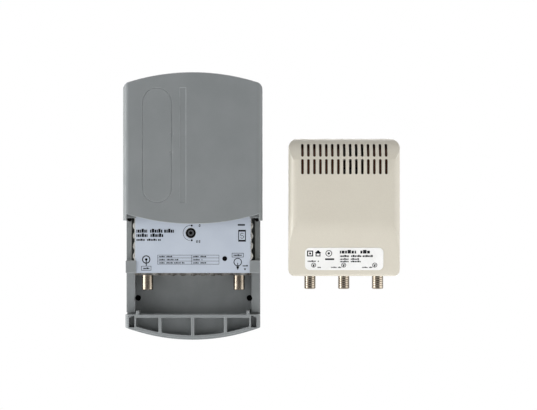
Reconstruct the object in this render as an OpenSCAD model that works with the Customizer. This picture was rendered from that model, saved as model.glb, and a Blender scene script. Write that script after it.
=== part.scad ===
// Antenna signal amplifier for a mast or wall, with its plug-in power supply beside it.
// Frame: x to the right, z up, the wall plane at y = 0 and every front facing -y.
// The origin is midway between the two wall screws of the amplifier's base.
// Depths are distances in front of the wall plane; the cover is drawn pushed up, as when open.

/* [Base tray] */
// Width of the base across its side walls
base_w = 110; // [100:0.1:120]
// Height of the base from its lowest point to the top of its arched end
base_h = 121.5; // [118:0.5:130]
// Height of the wall screws above the base's lowest point
screw_rise = 33; // [30:0.5:36]
// Distance from the wall plane to the back of the tray floor
floor_off = 10; // [8:0.5:13]
// Thickness of the tray floor
floor_t = 2.4; // [1.8:0.1:3]
// Thickness of the tray's rim wall
tray_wall = 2.4; // [2.1:0.1:3]
// Radius of the arc along the base's lower end
low_arc_r = 156.5; // [140:0.5:180]
// Radius of the arc along the top of the base and of the cover
top_arc_r = 175; // [160:1:200]
// Width of each rail, seen from the front
rail_w = 7.2; // [6:0.1:7.6]
// Width of each rail beside the module, where it is cut back
rail_slim_w = 4.4; // [3.6:0.1:5]
// Depth of each rail, front to back
rail_d = 6; // [5:0.1:8]
// Height of the rails' front faces above the tray floor
rail_rise = 12.6; // [11:0.1:14]
// Depth of the groove in each rail
groove_depth = 1.9; // [1.7:0.1:2.4]
// Width of the groove in each rail
groove_w = 2.4; // [2.3:0.1:3]
// Distance from each wall screw to the base's side
screw_side = 8.9; // [7:0.1:12]
// Bore of each wall screw hole
screw_hole_d = 4.8; // [4:0.1:5.5]
// Diameter of the stand-off boss behind each wall screw hole
boss_d = 10; // [8:0.5:12]
// Height of each post that holds a corner of the amplifier module
post_h = 10.2; // [8:0.1:12]
// Reach of each post's lip over the module's face
post_lip = 0.7; // [0.4:0.1:1]
// Thickness of each post's lip
post_lip_t = 1.2; // [0.8:0.1:1.6]

/* [Cable end block] */
// Height of the end block from the base's lowest point
block_h = 20.5; // [18:0.5:23]
// Depth of the end block in front of the tray floor
block_d = 31.9; // [30:0.1:34]
// Thickness of the block's straight upper wall
block_wall = 2.5; // [1.8:0.1:3]
// Thickness of the block's curved rim
rim_t = 3.7; // [3:0.1:4.4]
// Width of the lower step round the rim
rim_step_w = 1.5; // [1:0.1:2]
// Drop of that step behind the rim's front face
rim_step_d = 0.9; // [0.5:0.1:1.5]
// Thickness of the ribs between the cells
cell_rib = 2.5; // [2:0.1:3]
// Width of each of the two middle cells
cell_w = 24.2; // [22:0.1:26]
// Width of each solid corner beside the outer cells
corner_w = 8.75; // [8.5:0.05:9.5]
// Depth of the cells
cell_d = 10; // [8:0.5:12]
// Thickness of the plate behind the cells
cell_plate = 1.6; // [1.2:0.1:2]
// Bore of each cable port
port_d = 12; // [11.4:0.1:12.4]
// Gap between the tray's side walls and the end block
block_gap = 0.9; // [0.6:0.1:1.4]

/* [Mast saddle] */
// Width of the saddle
saddle_w = 62; // [56:1:70]
// Height of the saddle over its two ribs
saddle_h = 44; // [40:1:50]
// Height of the saddle's lower rib above the wall screws
saddle_rise = 26; // [22:1:30]
// Thickness of the saddle's ribs and webs
saddle_t = 3; // [2.4:0.1:4]
// Half width of the notch that takes the mast
notch_half = 16; // [13:0.5:19]
// Depth of the notch that takes the mast
notch_d = 7.4; // [6:0.1:7.6]
// Height of each strap slot
strap_slot_h = 14; // [12:0.5:18]
// Width of each strap slot, front to back
strap_slot_w = 3.6; // [3:0.1:4]

/* [Sliding cover] */
// Wall thickness of the cover
cover_wall = 1.5; // [1.3:0.1:1.8]
// Running gap between the cover and the base
slide_gap = 0.35; // [0.3:0.05:0.6]
// Height of the cover from its lowest point to the top of its arch
cover_h = 123.5; // [121:0.5:130]
// How far the cover is pushed up from its closed place
cover_lift = 92; // [85:0.5:95]
// Height of the closed cover's lowest point above the base's lowest point
closed_rise = 2.5; // [2:0.1:4]
// Radius of the cover's lower edge
cover_low_r = 184.5; // [170:0.5:200]
// Height of the side walls' straight lower ends above the cover's lowest point
cover_side_rise = 2.5; // [1.5:0.1:4]
// Width of the side walls' lower ends, seen from the front
cover_side_w = 2.9; // [2.6:0.1:3.4]
// Radius of the cover's long front edges
cover_edge_r = 5; // [4:0.1:6]
// Radius of the cover's upper corners, seen from the front
cover_corner_r = 6; // [5:0.5:8]
// Reach of the tongue on each side wall into its groove
tongue_depth = 1.6; // [1.4:0.05:1.7]
// Play of the tongue in its groove, front and back
tongue_play = 0.3; // [0.25:0.05:0.4]
// Depth of the lines moulded in the cover's face
relief_d = 0.4; // [0.2:0.05:0.6]
// Width of the moulded lines
relief_w = 0.7; // [0.5:0.05:1]
// Width of the moulded long oval
oval_w = 24.2; // [20:0.1:26]
// Height of the moulded long oval
oval_h = 93.9; // [80:0.1:100]
// Distance of the oval's centre left of the cover's middle
oval_left = 29; // [26:0.1:32]
// Radius of the two small rings on the oval
ring_r = 1.6; // [1.2:0.1:2]
// Distance between the two small rings
ring_spacing = 14.6; // [12:0.1:18]
// Width of the shallow upright band
band_w = 5; // [4:0.1:6]
// Distance of the band's centre left of the cover's middle
band_left = 8; // [7:0.1:9]

/* [Amplifier module] */
// Distance from the die-cast case to the base's side
case_side = 7.9; // [7.7:0.1:9]
// Height of the die-cast case
case_h = 57.5; // [52:0.5:58]
// Depth of the die-cast case
case_d = 24; // [21:0.5:25]
// Height of the case's lower side above the wall screws
case_rise = 20.1; // [18:0.1:22]
// Wall thickness of the case
case_wall = 1.6; // [1.3:0.1:2]
// Thickness of the tin-plate lid
lid_t = 0.5; // [0.4:0.05:0.7]
// Depth of the lid's spring fingers
finger_d = 4.5; // [3.5:0.1:6]
// Reach of the spring fingers beyond the case
finger_out = 2; // [1.5:0.1:2.2]
// Spacing of the spring fingers
finger_pitch = 8.2; // [7.5:0.1:9.5]
// Radius of each spring finger's rounded front
finger_r = 3.6; // [3:0.1:3.7]
// Thickness of the printed label
label_t = 0.2; // [0.15:0.05:0.3]
// Strip of the case that shows below the label
label_inset = 1.2; // [0.8:0.1:1.6]
// Radius of the test hole in the face
test_hole_r = 1.8; // [1.4:0.1:2.2]
// Distance of the test hole right of the middle
test_hole_x = 26; // [24:0.1:28]
// Height of the test hole above the wall screws
test_hole_z = 33; // [31:0.1:35]

/* [Circuit board] */
// Thickness of the boards
board_t = 1.6; // [1.2:0.1:2]
// Height of the pillars under the amplifier's board
pillar_h = 6.4; // [5:0.1:8]
// Diameter of the pillars under both boards
pillar_d = 5; // [4.4:0.1:6]
// Gap between the board and the case walls
board_gap = 0.8; // [0.5:0.1:1.2]

/* [Gain trimmer] */
// Radius of the trimmer's round body
trimmer_r = 4; // [3.6:0.1:4.4]
// Radius of the trimmer's turning rotor
rotor_r = 2.4; // [2:0.1:2.8]
// Running gap round the rotor
rotor_gap = 0.05; // [0.03:0.01:0.09]
// Depth of the rotor's bearing
rotor_depth = 5; // [4:0.1:6]
// Height of the trimmer above the wall screws
trimmer_z = 54; // [51:0.1:57]
// Distance of the trimmer left of the middle
trimmer_left = 1.8; // [0:0.1:4]

/* [Threaded coaxial connectors] */
// Outer radius of the connector thread
thread_r = 4.72; // [4.5:0.01:4.8]
// Length of thread on the amplifier's connectors
thread_len = 13; // [11:0.1:14]
// Length of thread below the power supply
supply_thread_len = 10.7; // [9:0.1:12]
// Chamfer at the end of each thread
thread_chamfer = 0.6; // [0.3:0.1:0.9]
// Radius of the neck that passes through a case wall
neck_r = 3.7; // [3.4:0.1:4]
// Radius of the bore in each connector shell
shell_bore_r = 2.9; // [2.6:0.05:3.1]
// Recess of the insulator in the mouth of the shell
insulator_recess = 0.6; // [0.4:0.1:1]
// Outer radius of the centre contact
contact_r = 0.75; // [0.6:0.05:0.9]
// Radius of the hole in the centre contact
contact_bore_r = 0.45; // [0.35:0.05:0.5]
// Distance from each amplifier connector's axis to the case's side
connector_side = 9.5; // [8:0.1:12]
// Distance between neighbouring connectors on the power supply
supply_connector_spacing = 27.8; // [24:0.1:29]

/* [Power supply case] */
// Distance from the amplifier's middle to the power supply's middle
supply_x = 123.6; // [115:0.1:140]
// Height of the power supply's lower side above the wall screws
supply_rise = 18.6; // [10:0.1:30]
// Width of the power supply
supply_w = 91; // [86:0.5:96]
// Height of the power supply
supply_h = 112.8; // [108:0.5:120]
// Depth of the power supply from the wall
supply_d = 44; // [42:0.5:48]
// Depth of the rear shell
rear_d = 14; // [12:0.5:15]
// Wall thickness of both shells
shell_wall = 2; // [1.6:0.1:2.4]
// Radius of the curve where the front turns back into the top
top_curve_r = 24; // [20:0.5:26]
// Height of the bend line above the lower side
bend_rise = 41; // [38:0.5:44]
// How far the face leans back at the lower side
lean_back = 10; // [6:0.5:10]
// Radius of the long front edges
supply_edge_r = 7; // [5:0.5:8]
// Radius of the upper corners, seen from the front
supply_corner_r = 8; // [4:0.5:9]
// Radius of the lower corners, seen from the front
supply_foot_r = 5; // [3:0.5:8]
// Number of vent slots in a row
vent_count = 15; // [11:1:15]
// Spacing of the vent slots
vent_pitch = 4.88; // [4.5:0.01:5]
// Width of each vent slot
vent_w = 1.8; // [1.4:0.1:2.2]
// Height of the lower row of slots
vent_low_h = 12.4; // [10:0.1:13]
// Height of the upper row of slots
vent_high_h = 10.6; // [9:0.1:11]
// Distance from the top down to the lower end of the lower row
vent_drop = 29.5; // [27:0.1:32]
// Gap between the two rows
vent_row_gap = 1.9; // [1.5:0.1:2.5]
// Width of the power supply's label
plate_w = 64; // [56:0.5:70]
// Height of the power supply's label
plate_h = 18.9; // [16:0.1:21]
// Corner radius of the power supply's label
plate_r = 4; // [2:0.1:5]
// Distance from the lower side to the label, along the leaning face
plate_rise = 5.2; // [4:0.1:8]

/* [Mains plug] */
// Diameter of the plug pins' bare tips
pin_d = 4; // [3.9:0.05:4.1]
// Length of each pin from the wall plane
pin_len = 19; // [18:0.5:19]
// Distance between the pins
pin_spacing = 19; // [18:0.1:19]
// Length of the insulating sleeve on each pin
sleeve_len = 10; // [9:0.5:10.5]
// Diameter of the sleeve
sleeve_d = 3.6; // [3.4:0.05:3.7]
// Diameter of the pin inside its sleeve
pin_core_d = 2.8; // [2.4:0.1:3]
// Distance from the transformer's lower side down to the pins
pin_drop = 2.83; // [2:0.01:6]

/* [Hidden] */
$fn = 96;

// One overrun serves every cut
over = 1;
// Seat clearance between pieces that lie against each other on curved or side faces
seat = 0.15;

// Widths that follow from the base
case_w = base_w - 2 * case_side;
screw_spacing = base_w - 2 * screw_side;
connector_spacing = case_w - 2 * connector_side;
cells_half = base_w / 2 - corner_w;
side_cell_w = cells_half - cell_rib / 2 - cell_w - cell_rib;
vent_rise = supply_h - vent_drop;

// Levels in front of the wall plane
floor_front = floor_off + floor_t;
rail_front = floor_front + rail_rise;
case_front = floor_front + case_d;
lid_front = case_front + lid_t;
label_front = lid_front + label_t;
block_front = floor_front + block_d;
cover_inner = block_front + slide_gap;
cover_front = cover_inner + cover_wall;
cover_back = floor_off + slide_gap;
connector_off = rail_front;
groove_off = rail_front - rail_d / 2 - groove_w / 2;

// Heights above the wall screws
base_low = -screw_rise;
base_top = base_low + base_h;
block_top = base_low + block_h;
wall_low = block_top + block_gap;
case_top = case_rise + case_h;
cover_low = base_low + closed_rise + cover_lift;
cover_top = cover_low + cover_h;
cover_side_low = cover_low + cover_side_rise;

// Widths of the cover
cover_in_w = base_w + 2 * slide_gap;
cover_w = cover_in_w + 2 * cover_wall;

// Board of the amplifier
amp_board_back = floor_front + case_wall + pillar_h;
amp_board_front = amp_board_back + board_t;
amp_board_w = case_w - 2 * case_wall - 2 * board_gap;
amp_board_h = case_h - 2 * case_wall - 2 * board_gap;
amp_board_low = case_rise + case_wall + board_gap;
pillar_inset = 5;
pilot_r = 1;
screw_r = 1;
head_r = 2.2;
head_t = 1.4;
drive_w = 0.6;
drive_d = 0.7;

// Screens inside the case
screen_t = 1.2;
screen_share = 0.26;
screen_gap = 1;

// Power supply levels
supply_top = supply_rise + supply_h;
supply_face = supply_d;
supply_board_back = 6;
supply_board_front = supply_board_back + board_t;
supply_board_w = 74;
board_share = 0.514;
board_low_share = 0.284;
supply_board_h = supply_h * board_share;
supply_board_low = supply_rise + supply_h * board_low_share;
supply_connector_off = 23;
lean_angle = atan(lean_back / bend_rise);

// Sizes and places of the transformer and of the splitter can
core_w = 38;
core_h = 32;
core_d = 14;
core_share = 0.557;
core_z = supply_rise + supply_h * core_share;
pin_z = core_z - pin_drop;
window_w = 7;
window_h = 20;
bobbin_d = 26;
bobbin_t = 1;
can_w = 69;
can_h = 17;
can_d = 15;
can_t = 0.6;
can_gap = 1.6;
can_low = supply_rise + shell_wall + can_gap;

// Extrudes a front-view outline from back, in front of the wall plane, forwards by depth
module forward(back, depth)
    translate([0, -back, 0]) rotate([90, 0, 0]) linear_extrude(height = depth) children();

// A box centred on x, from back forwards by deep, standing on z
module block(x, back, z, wide, deep, high)
    translate([x - wide / 2, -back - deep, z]) cube([wide, deep, high]);

// A round bar along y, from back forwards by deep
module bar(x, back, z, r, deep)
    translate([x, -back, z]) rotate([90, 0, 0]) cylinder(h = deep, r = r);

// A flat rounded rectangle centred on x = 0 and standing on y = 0
module rounded(wide, high, r) {
    translate([-wide / 2 + r, 0]) square([wide - 2 * r, high]);
    translate([-wide / 2, r]) square([wide, high - 2 * r]);
    for (side = [-1, 1], y = [r, high - r])
        translate([side * (wide / 2 - r), y]) circle(r);
}

// Front view of the base, drawn in by inset all round
module base_outline(inset) intersection() {
    translate([-base_w / 2 + inset, base_low]) square([base_w - 2 * inset, base_h]);
    translate([0, base_low + low_arc_r]) circle(low_arc_r - inset);
    translate([0, base_top - top_arc_r]) circle(top_arc_r - inset);
}

// Plan view of everything under the cover's face, drawn in by inset from the cover's outside
module cover_plan(inset) {
    half = cover_w / 2 - inset;
    front = cover_front - inset;
    r = cover_edge_r - inset;
    translate([-half, -front + r]) square([2 * half, front - r]);
    translate([-half + r, -front]) square([2 * half - 2 * r, front]);
    for (side = [-1, 1]) translate([side * (half - r), -front + r]) circle(r);
}

// Places for the four pillars of the amplifier's board
module at_amp_pillars()
    for (side = [-1, 1], z = [amp_board_low + pillar_inset,
            amp_board_low + amp_board_h - pillar_inset])
        translate([side * (amp_board_w / 2 - pillar_inset), 0, z]) children();

module base_tray() color("dimgray") difference() {
    union() {
        forward(floor_off, floor_t) base_outline(0);
        // Rim wall round the sides and over the arched top
        forward(floor_front, rail_front - floor_front) difference() {
            base_outline(0);
            base_outline(tray_wall);
            translate([-base_w / 2 - over, base_low - over])
                square([base_w + 2 * over, wall_low - base_low + over]);
        }
        // Rails along the sides, ended by the arched top
        intersection() {
            forward(rail_front - rail_d, rail_d) base_outline(0);
            for (side = [-1, 1])
                difference() {
                    block(side * (base_w - rail_w) / 2, rail_front - rail_d, wall_low,
                        rail_w, rail_d, base_h);
                    // Cut back beside the module's spring fingers
                    block(side * (base_w / 2 - rail_slim_w - rail_w / 2),
                        rail_front - rail_d - over, case_rise + label_inset + post_h,
                        rail_w, rail_d + 2 * over, finger_span);
                }
        }
        for (side = [-1, 1]) {
            // Stand-off bosses for the wall screws
            bar(side * screw_spacing / 2, 0, 0, boss_d / 2, floor_off);
            // Posts at the module's lower and upper corners, with lips over its face
            for (z = [case_rise + label_inset, case_top - label_inset - post_h]) {
                post(side, z);
            }
        }
    }
    for (side = [-1, 1]) {
        bar(side * screw_spacing / 2, -over, 0, screw_hole_d / 2, rail_front + 2 * over);
        block(side * (base_w / 2 - groove_depth + base_w / 2), groove_off, base_low,
            base_w, groove_w, base_h + over);
    }
    at_saddle_screws() {
        bar(0, floor_off - over, 0, screw_r + seat, floor_t + 2 * over);
        bar(0, floor_front - sink_t, 0, head_r + seat, sink_t + over);
    }
}

// One corner post on the given side
module post(side, z) {
    inner = case_w / 2 + seat;
    wide = base_w / 2 - inner - finger_out / 2;
    block(side * (inner + finger_out / 2 + wide / 2), floor_front, z,
        wide, label_front - floor_front + seat, post_h);
    block(side * (base_w / 2 - post_reach / 2), label_front + seat, z,
        post_reach, post_lip_t, post_h);
}
post_reach = (base_w - case_w) / 2 + post_lip;
finger_span = case_h - 2 * label_inset - 2 * post_h;

// Places for the saddle's two screws, under the module
module at_saddle_screws()
    for (share = [saddle_screw_share, 1 - saddle_screw_share])
        translate([0, 0, saddle_rise + saddle_h * share]) children();
saddle_screw_share = 0.3;

module cable_end_block() color("gray") difference() {
    intersection() {
        forward(floor_front, block_d) intersection() {
            base_outline(0);
            translate([-base_w / 2, base_low]) square([base_w, block_h + tab_h]);
        }
        translate([0, 0, base_low]) linear_extrude(height = block_h + tab_h)
            cover_plan(cover_wall + slide_gap);
    }
    // Above the straight wall only the two small tabs stay
    difference() {
        block(0, floor_front - over, block_top, base_w + 2 * over, block_d + 2 * over, tab_h + over);
        for (side = [-1, 1])
            block(side * (cells_half - tab_w / 2), floor_front - 2 * over, block_top - over,
                tab_w, block_d + 2 * over, tab_h + over);
    }
    // Cells, open to the front
    forward(block_front - cell_d, cell_d + over) intersection() {
        base_outline(rim_t);
        for (side = [-1, 1]) {
            translate([side * (cell_rib + cell_w) / 2 - cell_w / 2, base_low])
                square([cell_w, block_h - block_wall]);
            translate([side * (cells_half - side_cell_w / 2) - side_cell_w / 2, base_low])
                square([side_cell_w, block_h - block_wall]);
        }
    }
    // Cable space behind the cells, closed by the tray floor
    forward(floor_front - over, block_d - cell_d - cell_plate + over) intersection() {
        base_outline(rim_t);
        translate([-cells_half, base_low]) square([2 * cells_half, block_h - block_wall]);
    }
    for (side = [-1, 1]) {
        translate([side * connector_spacing / 2, -connector_off, base_low - over])
            cylinder(h = block_h + 2 * over, r = port_d / 2);
        // Groove for the cover's tongue
        block(side * (base_w / 2 - groove_depth + base_w / 2), groove_off, base_low - over,
            base_w, groove_w, block_h + 2 * over);
        // Corner pocket with its slanted floor
        corner_pocket(side);
    }
    // Step round the lower rim
    forward(block_front - rim_step_d, rim_step_d + over) difference() {
        translate([-base_w / 2, base_low]) square([base_w, block_h - pocket_h - block_wall]);
        base_outline(rim_step_w);
    }
}
tab_w = 2.4;
tab_h = 3;
pocket_w = 4.4;
pocket_h = 10.4;
pocket_d = 7;

// Pocket in an upper corner of the end block, cut by a slanted web
module corner_pocket(side) {
    x = cells_half + cell_rib / 2 + pocket_w / 2;
    intersection() {
        block(side * x, block_front - pocket_d, block_top - pocket_h, pocket_w, pocket_d + over,
            pocket_h - pocket_lip);
        translate([side * (x - pocket_w / 2), -block_front + pocket_d, block_top])
            rotate([0, side * pocket_angle, 0])
                translate([-base_w / 2, -pocket_d - over, -base_h])
                    cube([base_w, pocket_d + 2 * over, base_h]);
    }
}
pocket_lip = 0.8;
pocket_angle = 30;

module mast_saddle() color("dimgray") difference() {
    union() {
        for (z = [saddle_rise, saddle_rise + saddle_h - saddle_t])
            translate([0, 0, z]) linear_extrude(height = saddle_t) difference() {
                translate([-saddle_w / 2, -floor_off]) square([saddle_w, floor_off]);
                polygon([[-notch_half, over], [notch_half, over], [notch_half, 0],
                    [0, -notch_d], [-notch_half, 0]]);
            }
        for (side = [-1, 1])
            block(side * (saddle_w - saddle_t) / 2, 0, saddle_rise, saddle_t, floor_off, saddle_h);
        block(0, floor_off - saddle_plate, saddle_rise, saddle_w, saddle_plate, saddle_h);
    }
    for (side = [-1, 1])
        block(side * saddle_w / 2, floor_off - saddle_plate - strap_slot_w,
            saddle_rise + (saddle_h - strap_slot_h) / 2, 3 * saddle_t, strap_slot_w, strap_slot_h);
    at_saddle_screws() bar(0, floor_off - saddle_plate - over, 0, pilot_r, saddle_plate + 2 * over);
}
saddle_plate = 2;

// Screws from the tray into the saddle, their heads sunk in the tray floor
module saddle_screws() color("silver") at_saddle_screws() difference() {
    union() {
        bar(0, floor_off - saddle_plate, 0, pilot_r - screw_slack, saddle_plate + floor_t - sink_t);
        bar(0, floor_front - sink_t, 0, head_r, sink_t);
    }
    block(0, floor_front - drive_d, -drive_w / 2, 2 * head_r + over, drive_d + over, drive_w);
}
sink_t = 1.2;
screw_slack = 0.05;

// Front view of the cover, drawn in by inset from its outside
module cover_outline(inset) {
    half = cover_w / 2 - inset;
    arc = top_arc_r - inset;
    r = cover_corner_r - inset;
    centre_z = cover_top - top_arc_r;
    corner_z = centre_z + sqrt(pow(arc - r, 2) - pow(half - r, 2));
    lean = atan2(corner_z - centre_z, half - r);
    difference() {
        intersection() {
            translate([-half, cover_low]) square([2 * half, cover_h]);
            translate([0, centre_z]) circle(arc);
        }
        for (side = [-1, 1]) difference() {
            polygon([
                [side * (half - r), corner_z],
                [side * (half + over), corner_z],
                [side * (half + over), cover_top],
                [side * (arc + over) * cos(lean), centre_z + (arc + over) * sin(lean)]
            ]);
            translate([side * (half - r), corner_z]) circle(r);
        }
    }
}

// What the cover leaves open below: its arched front edge and its straight side ends
module cover_foot() {
    inner = cover_w - 2 * cover_side_w;
    difference() {
        translate([-inner / 2, cover_low - over]) square([inner, cover_low_r]);
        translate([0, cover_low + cover_low_r]) circle(cover_low_r);
        translate([-inner / 2 - over, cover_low + foot_rise])
            square([inner + 2 * over, cover_low_r]);
    }
    translate([-cover_w / 2 - over, cover_low - over])
        square([cover_side_w + over, cover_side_rise + over]);
    translate([cover_w / 2 - cover_side_w, cover_low - over])
        square([cover_side_w + over, cover_side_rise + over]);
}
foot_rise = cover_low_r - sqrt(pow(cover_low_r, 2) - pow(cover_w / 2, 2));

// Long oval of the moulded line, drawn in by inset
module long_oval(inset) translate([-oval_left, oval_low + oval_w / 2]) {
    r = oval_w / 2 - inset;
    translate([-r, 0]) square([2 * r, oval_h - oval_w]);
    for (z = [0, oval_h - oval_w]) translate([0, z]) circle(r);
}
oval_top_gap = 12.6;
oval_low = cover_top - oval_h - oval_top_gap;

module sliding_cover() color("gray") difference() {
    union() {
        difference() {
            intersection() {
                forward(cover_back, cover_front - cover_back) cover_outline(0);
                translate([0, 0, cover_low]) linear_extrude(height = cover_h) cover_plan(0);
            }
            intersection() {
                forward(cover_back - over, cover_inner - cover_back + over) cover_outline(cover_wall);
                translate([0, 0, cover_low - over]) linear_extrude(height = cover_h + over)
                    cover_plan(cover_wall);
            }
        }
        // Tongues that run in the base's grooves
        for (side = [-1, 1])
            block(side * (cover_in_w / 2 - tongue_depth / 2 + cover_wall / 4),
                groove_off + tongue_play, cover_side_low,
                tongue_depth + cover_wall / 2, groove_w - 2 * tongue_play, tongue_h);
    }
    forward(cover_back - over, cover_front - cover_back + 2 * over) cover_foot();
    // Lines moulded in the face
    forward(cover_front - relief_d, relief_d + over) {
        difference() {
            long_oval(0);
            long_oval(relief_w);
        }
        for (z = [0, ring_spacing])
            translate([-oval_left + oval_w / 2 - relief_w, oval_low + oval_h * ring_share + z])
                difference() {
                    circle(ring_r);
                    circle(ring_r - relief_w);
                }
    }
    forward(cover_front - band_d, band_d + over)
        translate([-band_left - band_w / 2, oval_low]) square([band_w, oval_h]);
}
tongue_top_gap = 16;
tongue_h = cover_h - cover_side_rise - tongue_top_gap;
ring_share = 0.44;
band_d = 0.3;

module module_case() color("silver") difference() {
    union() {
        difference() {
            block(0, floor_front, case_rise, case_w, case_d, case_h);
            block(0, floor_front + case_wall, case_rise + case_wall,
                case_w - 2 * case_wall, case_d, case_h - 2 * case_wall);
        }
        at_amp_pillars() bar(0, floor_front, 0, pillar_d / 2, case_wall + pillar_h);
        // Cast screens in front of the board
        for (side = [-1, 1])
            block(side * case_w * screen_share, amp_board_front + screen_gap, case_rise,
                screen_t, case_front - amp_board_front - screen_gap, case_h);
    }
    at_amp_pillars() bar(0, floor_front + case_wall, 0, pilot_r, pillar_h + over);
    for (side = [-1, 1])
        translate([side * connector_spacing / 2, -connector_off, case_rise - over])
            cylinder(h = case_wall + 2 * over, r = neck_r + seat);
}

// Front view of the lid: a plate with rounded spring fingers along its edges
module lid_outline() {
    translate([-case_w / 2 - seat - lid_t, case_rise - seat - lid_t])
        square([case_w + 2 * seat + 2 * lid_t, case_h + 2 * seat + 2 * lid_t]);
    for (side = [-1, 1], i = [0 : side_fingers - 1])
        translate([side * (case_w / 2 + finger_out - finger_r),
            case_rise + label_inset + post_h + finger_r + seat + i * finger_pitch])
                circle(finger_r);
    for (i = [0 : end_fingers - 1]) {
        x = (i - (end_fingers - 1) / 2) * finger_pitch;
        translate([x, case_top + finger_low - finger_r]) circle(finger_r);
        if (abs(x) < connector_spacing / 2 - thread_r - finger_r)
            translate([x, case_rise - finger_low + finger_r]) circle(finger_r);
    }
}
side_fingers = floor((finger_span - 2 * seat - 2 * finger_r) / finger_pitch) + 1;
end_fingers = floor((case_w - 2 * finger_r) / finger_pitch) + 1;
finger_low = 1.4;

module module_lid() color("gainsboro") difference() {
    union() {
        forward(case_front, lid_t) lid_outline();
        forward(case_front - finger_d, finger_d) difference() {
            lid_outline();
            translate([-case_w / 2 - seat, case_rise - seat])
                square([case_w + 2 * seat, case_h + 2 * seat]);
        }
    }
    bar(-trimmer_left, case_front - over, trimmer_z, trimmer_r + seat, lid_t + 2 * over);
    bar(test_hole_x, case_front - over, test_hole_z, test_hole_r, lid_t + 2 * over);
}

module module_label() color("lightsteelblue") difference() {
    block(0, lid_front, case_rise + label_inset, case_w, label_t, case_h - 2 * label_inset);
    bar(-trimmer_left, lid_front - over, trimmer_z, trimmer_r + 2 * seat, label_t + 2 * over);
    bar(test_hole_x, lid_front - over, test_hole_z, test_hole_r, label_t + 2 * over);
}

module amplifier_board() color("darkgreen") difference() {
    block(0, amp_board_back, amp_board_low, amp_board_w, board_t, amp_board_h);
    at_amp_pillars() bar(0, amp_board_back - over, 0, screw_r + seat, board_t + 2 * over);
}

module board_screws() color("silver")
    at_amp_pillars() screw_at(amp_board_front, board_t + pillar_h - over);

// A pan-headed screw at the local origin whose head sits at back
module screw_at(back, length) difference() {
    union() {
        bar(0, back - length, 0, screw_r - screw_slack, length);
        bar(0, back, 0, head_r, head_t);
    }
    block(0, back + head_t - drive_d, -drive_w / 2, 2 * head_r + over, drive_d + over, drive_w);
}

module gain_trimmer_body() color("black") translate([-trimmer_left, 0, trimmer_z]) difference() {
    bar(0, amp_board_front, 0, trimmer_r, label_front - amp_board_front);
    bar(0, label_front - rotor_depth, 0, rotor_r + rotor_gap, rotor_depth + over);
}

module gain_trimmer_rotor() color("darkgray") translate([-trimmer_left, 0, trimmer_z]) difference() {
    bar(0, label_front - rotor_depth + rotor_gap, 0, rotor_r, rotor_depth - 2 * rotor_gap);
    bar(0, label_front - socket_d, 0, socket_r, socket_d + over);
    block(0, label_front - slot_d, -slot_w / 2, 2 * rotor_r * slot_share, slot_d + over, slot_w);
}
socket_r = 1.4;
socket_d = 1.2;
slot_w = 0.7;
slot_d = 1.9;
slot_share = 0.8;

module amplifier_chip() color("black")
    block(chip_x, amp_board_front, chip_z, chip_w, chip_t, chip_h);
chip_share = 0.15;
chip_x = -case_w * chip_share;
chip_z = 44;
chip_w = 5;
chip_t = 1.8;
chip_h = 4;

module filter_coils() color("orange")
    for (i = [0 : coil_count - 1])
        translate([coil_x, -amp_board_front - coil_r, coil_z + i * coil_pitch]) rotate([0, 90, 0])
            difference() {
                cylinder(h = coil_len, r = coil_r);
                translate([0, 0, -over]) cylinder(h = coil_len + 2 * over, r = coil_r - coil_wire);
            }
coil_count = 4;
coil_share = 0.425;
coil_x = -case_w * coil_share;
coil_z = 32;
coil_pitch = 10;
coil_r = 2.4;
coil_len = 7;
coil_wire = 0.7;

module ceramic_capacitors() color("peru")
    for (i = [0 : disc_count - 1])
        translate([disc_x, -amp_board_front - disc_r, disc_z + i * disc_pitch])
            cylinder(h = disc_t, r = disc_r);
disc_count = 5;
disc_share = 0.17;
disc_x = case_w * disc_share;
disc_z = 30;
disc_pitch = 8.5;
disc_r = 2.6;
disc_t = 1.6;

module power_feed_choke() color("dimgray") translate([choke_x, 0, choke_z]) difference() {
    union() {
        bar(0, amp_board_front, 0, choke_r, choke_flange);
        bar(0, amp_board_front, 0, choke_r - choke_flange, choke_len);
        bar(0, amp_board_front + choke_len - choke_flange, 0, choke_r, choke_flange);
    }
    bar(0, amp_board_front + choke_len - choke_flange, 0, pilot_r, choke_flange + over);
}
choke_share = 0.39;
choke_x = case_w * choke_share;
choke_z = 50;
choke_r = 4;
choke_len = 8;
choke_flange = 1.2;

module smoothing_capacitor() color("midnightblue")
    bar(choke_x, amp_board_front, choke_z + cap_up, cap_r, cap_len);
cap_up = 13;
cap_r = 3.1;
cap_len = 10;

// Shell of a threaded coaxial socket: its thread ends length below z, a plain shoulder
// takes up the stretch just under z, and its neck stands up from z
module connector_shell(x, off, z, length, shoulder, neck) translate([x, -off, z]) difference() {
    union() {
        translate([0, 0, -length + thread_chamfer])
            cylinder(h = length - shoulder - thread_chamfer, r = thread_r);
        translate([0, 0, -length])
            cylinder(h = thread_chamfer, r1 = thread_r - thread_chamfer, r2 = thread_r);
        translate([0, 0, -shoulder]) cylinder(h = shoulder, r = thread_r - shoulder_drop);
        cylinder(h = neck, r = neck_r);
    }
    translate([0, 0, -length - over]) cylinder(h = length + neck + 2 * over, r = shell_bore_r);
}
shoulder_drop = 0.4;
shoulder_len = 1;

// White insulator in a shell, with the hole for the centre contact
module connector_insulator(x, off, z, length, neck)
    translate([x, -off, z - length + insulator_recess]) difference() {
        cylinder(h = length + neck - insulator_recess, r = shell_bore_r - screw_slack);
        translate([0, 0, -over]) cylinder(h = length + neck + 2 * over, r = contact_r + screw_slack);
    }

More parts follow.
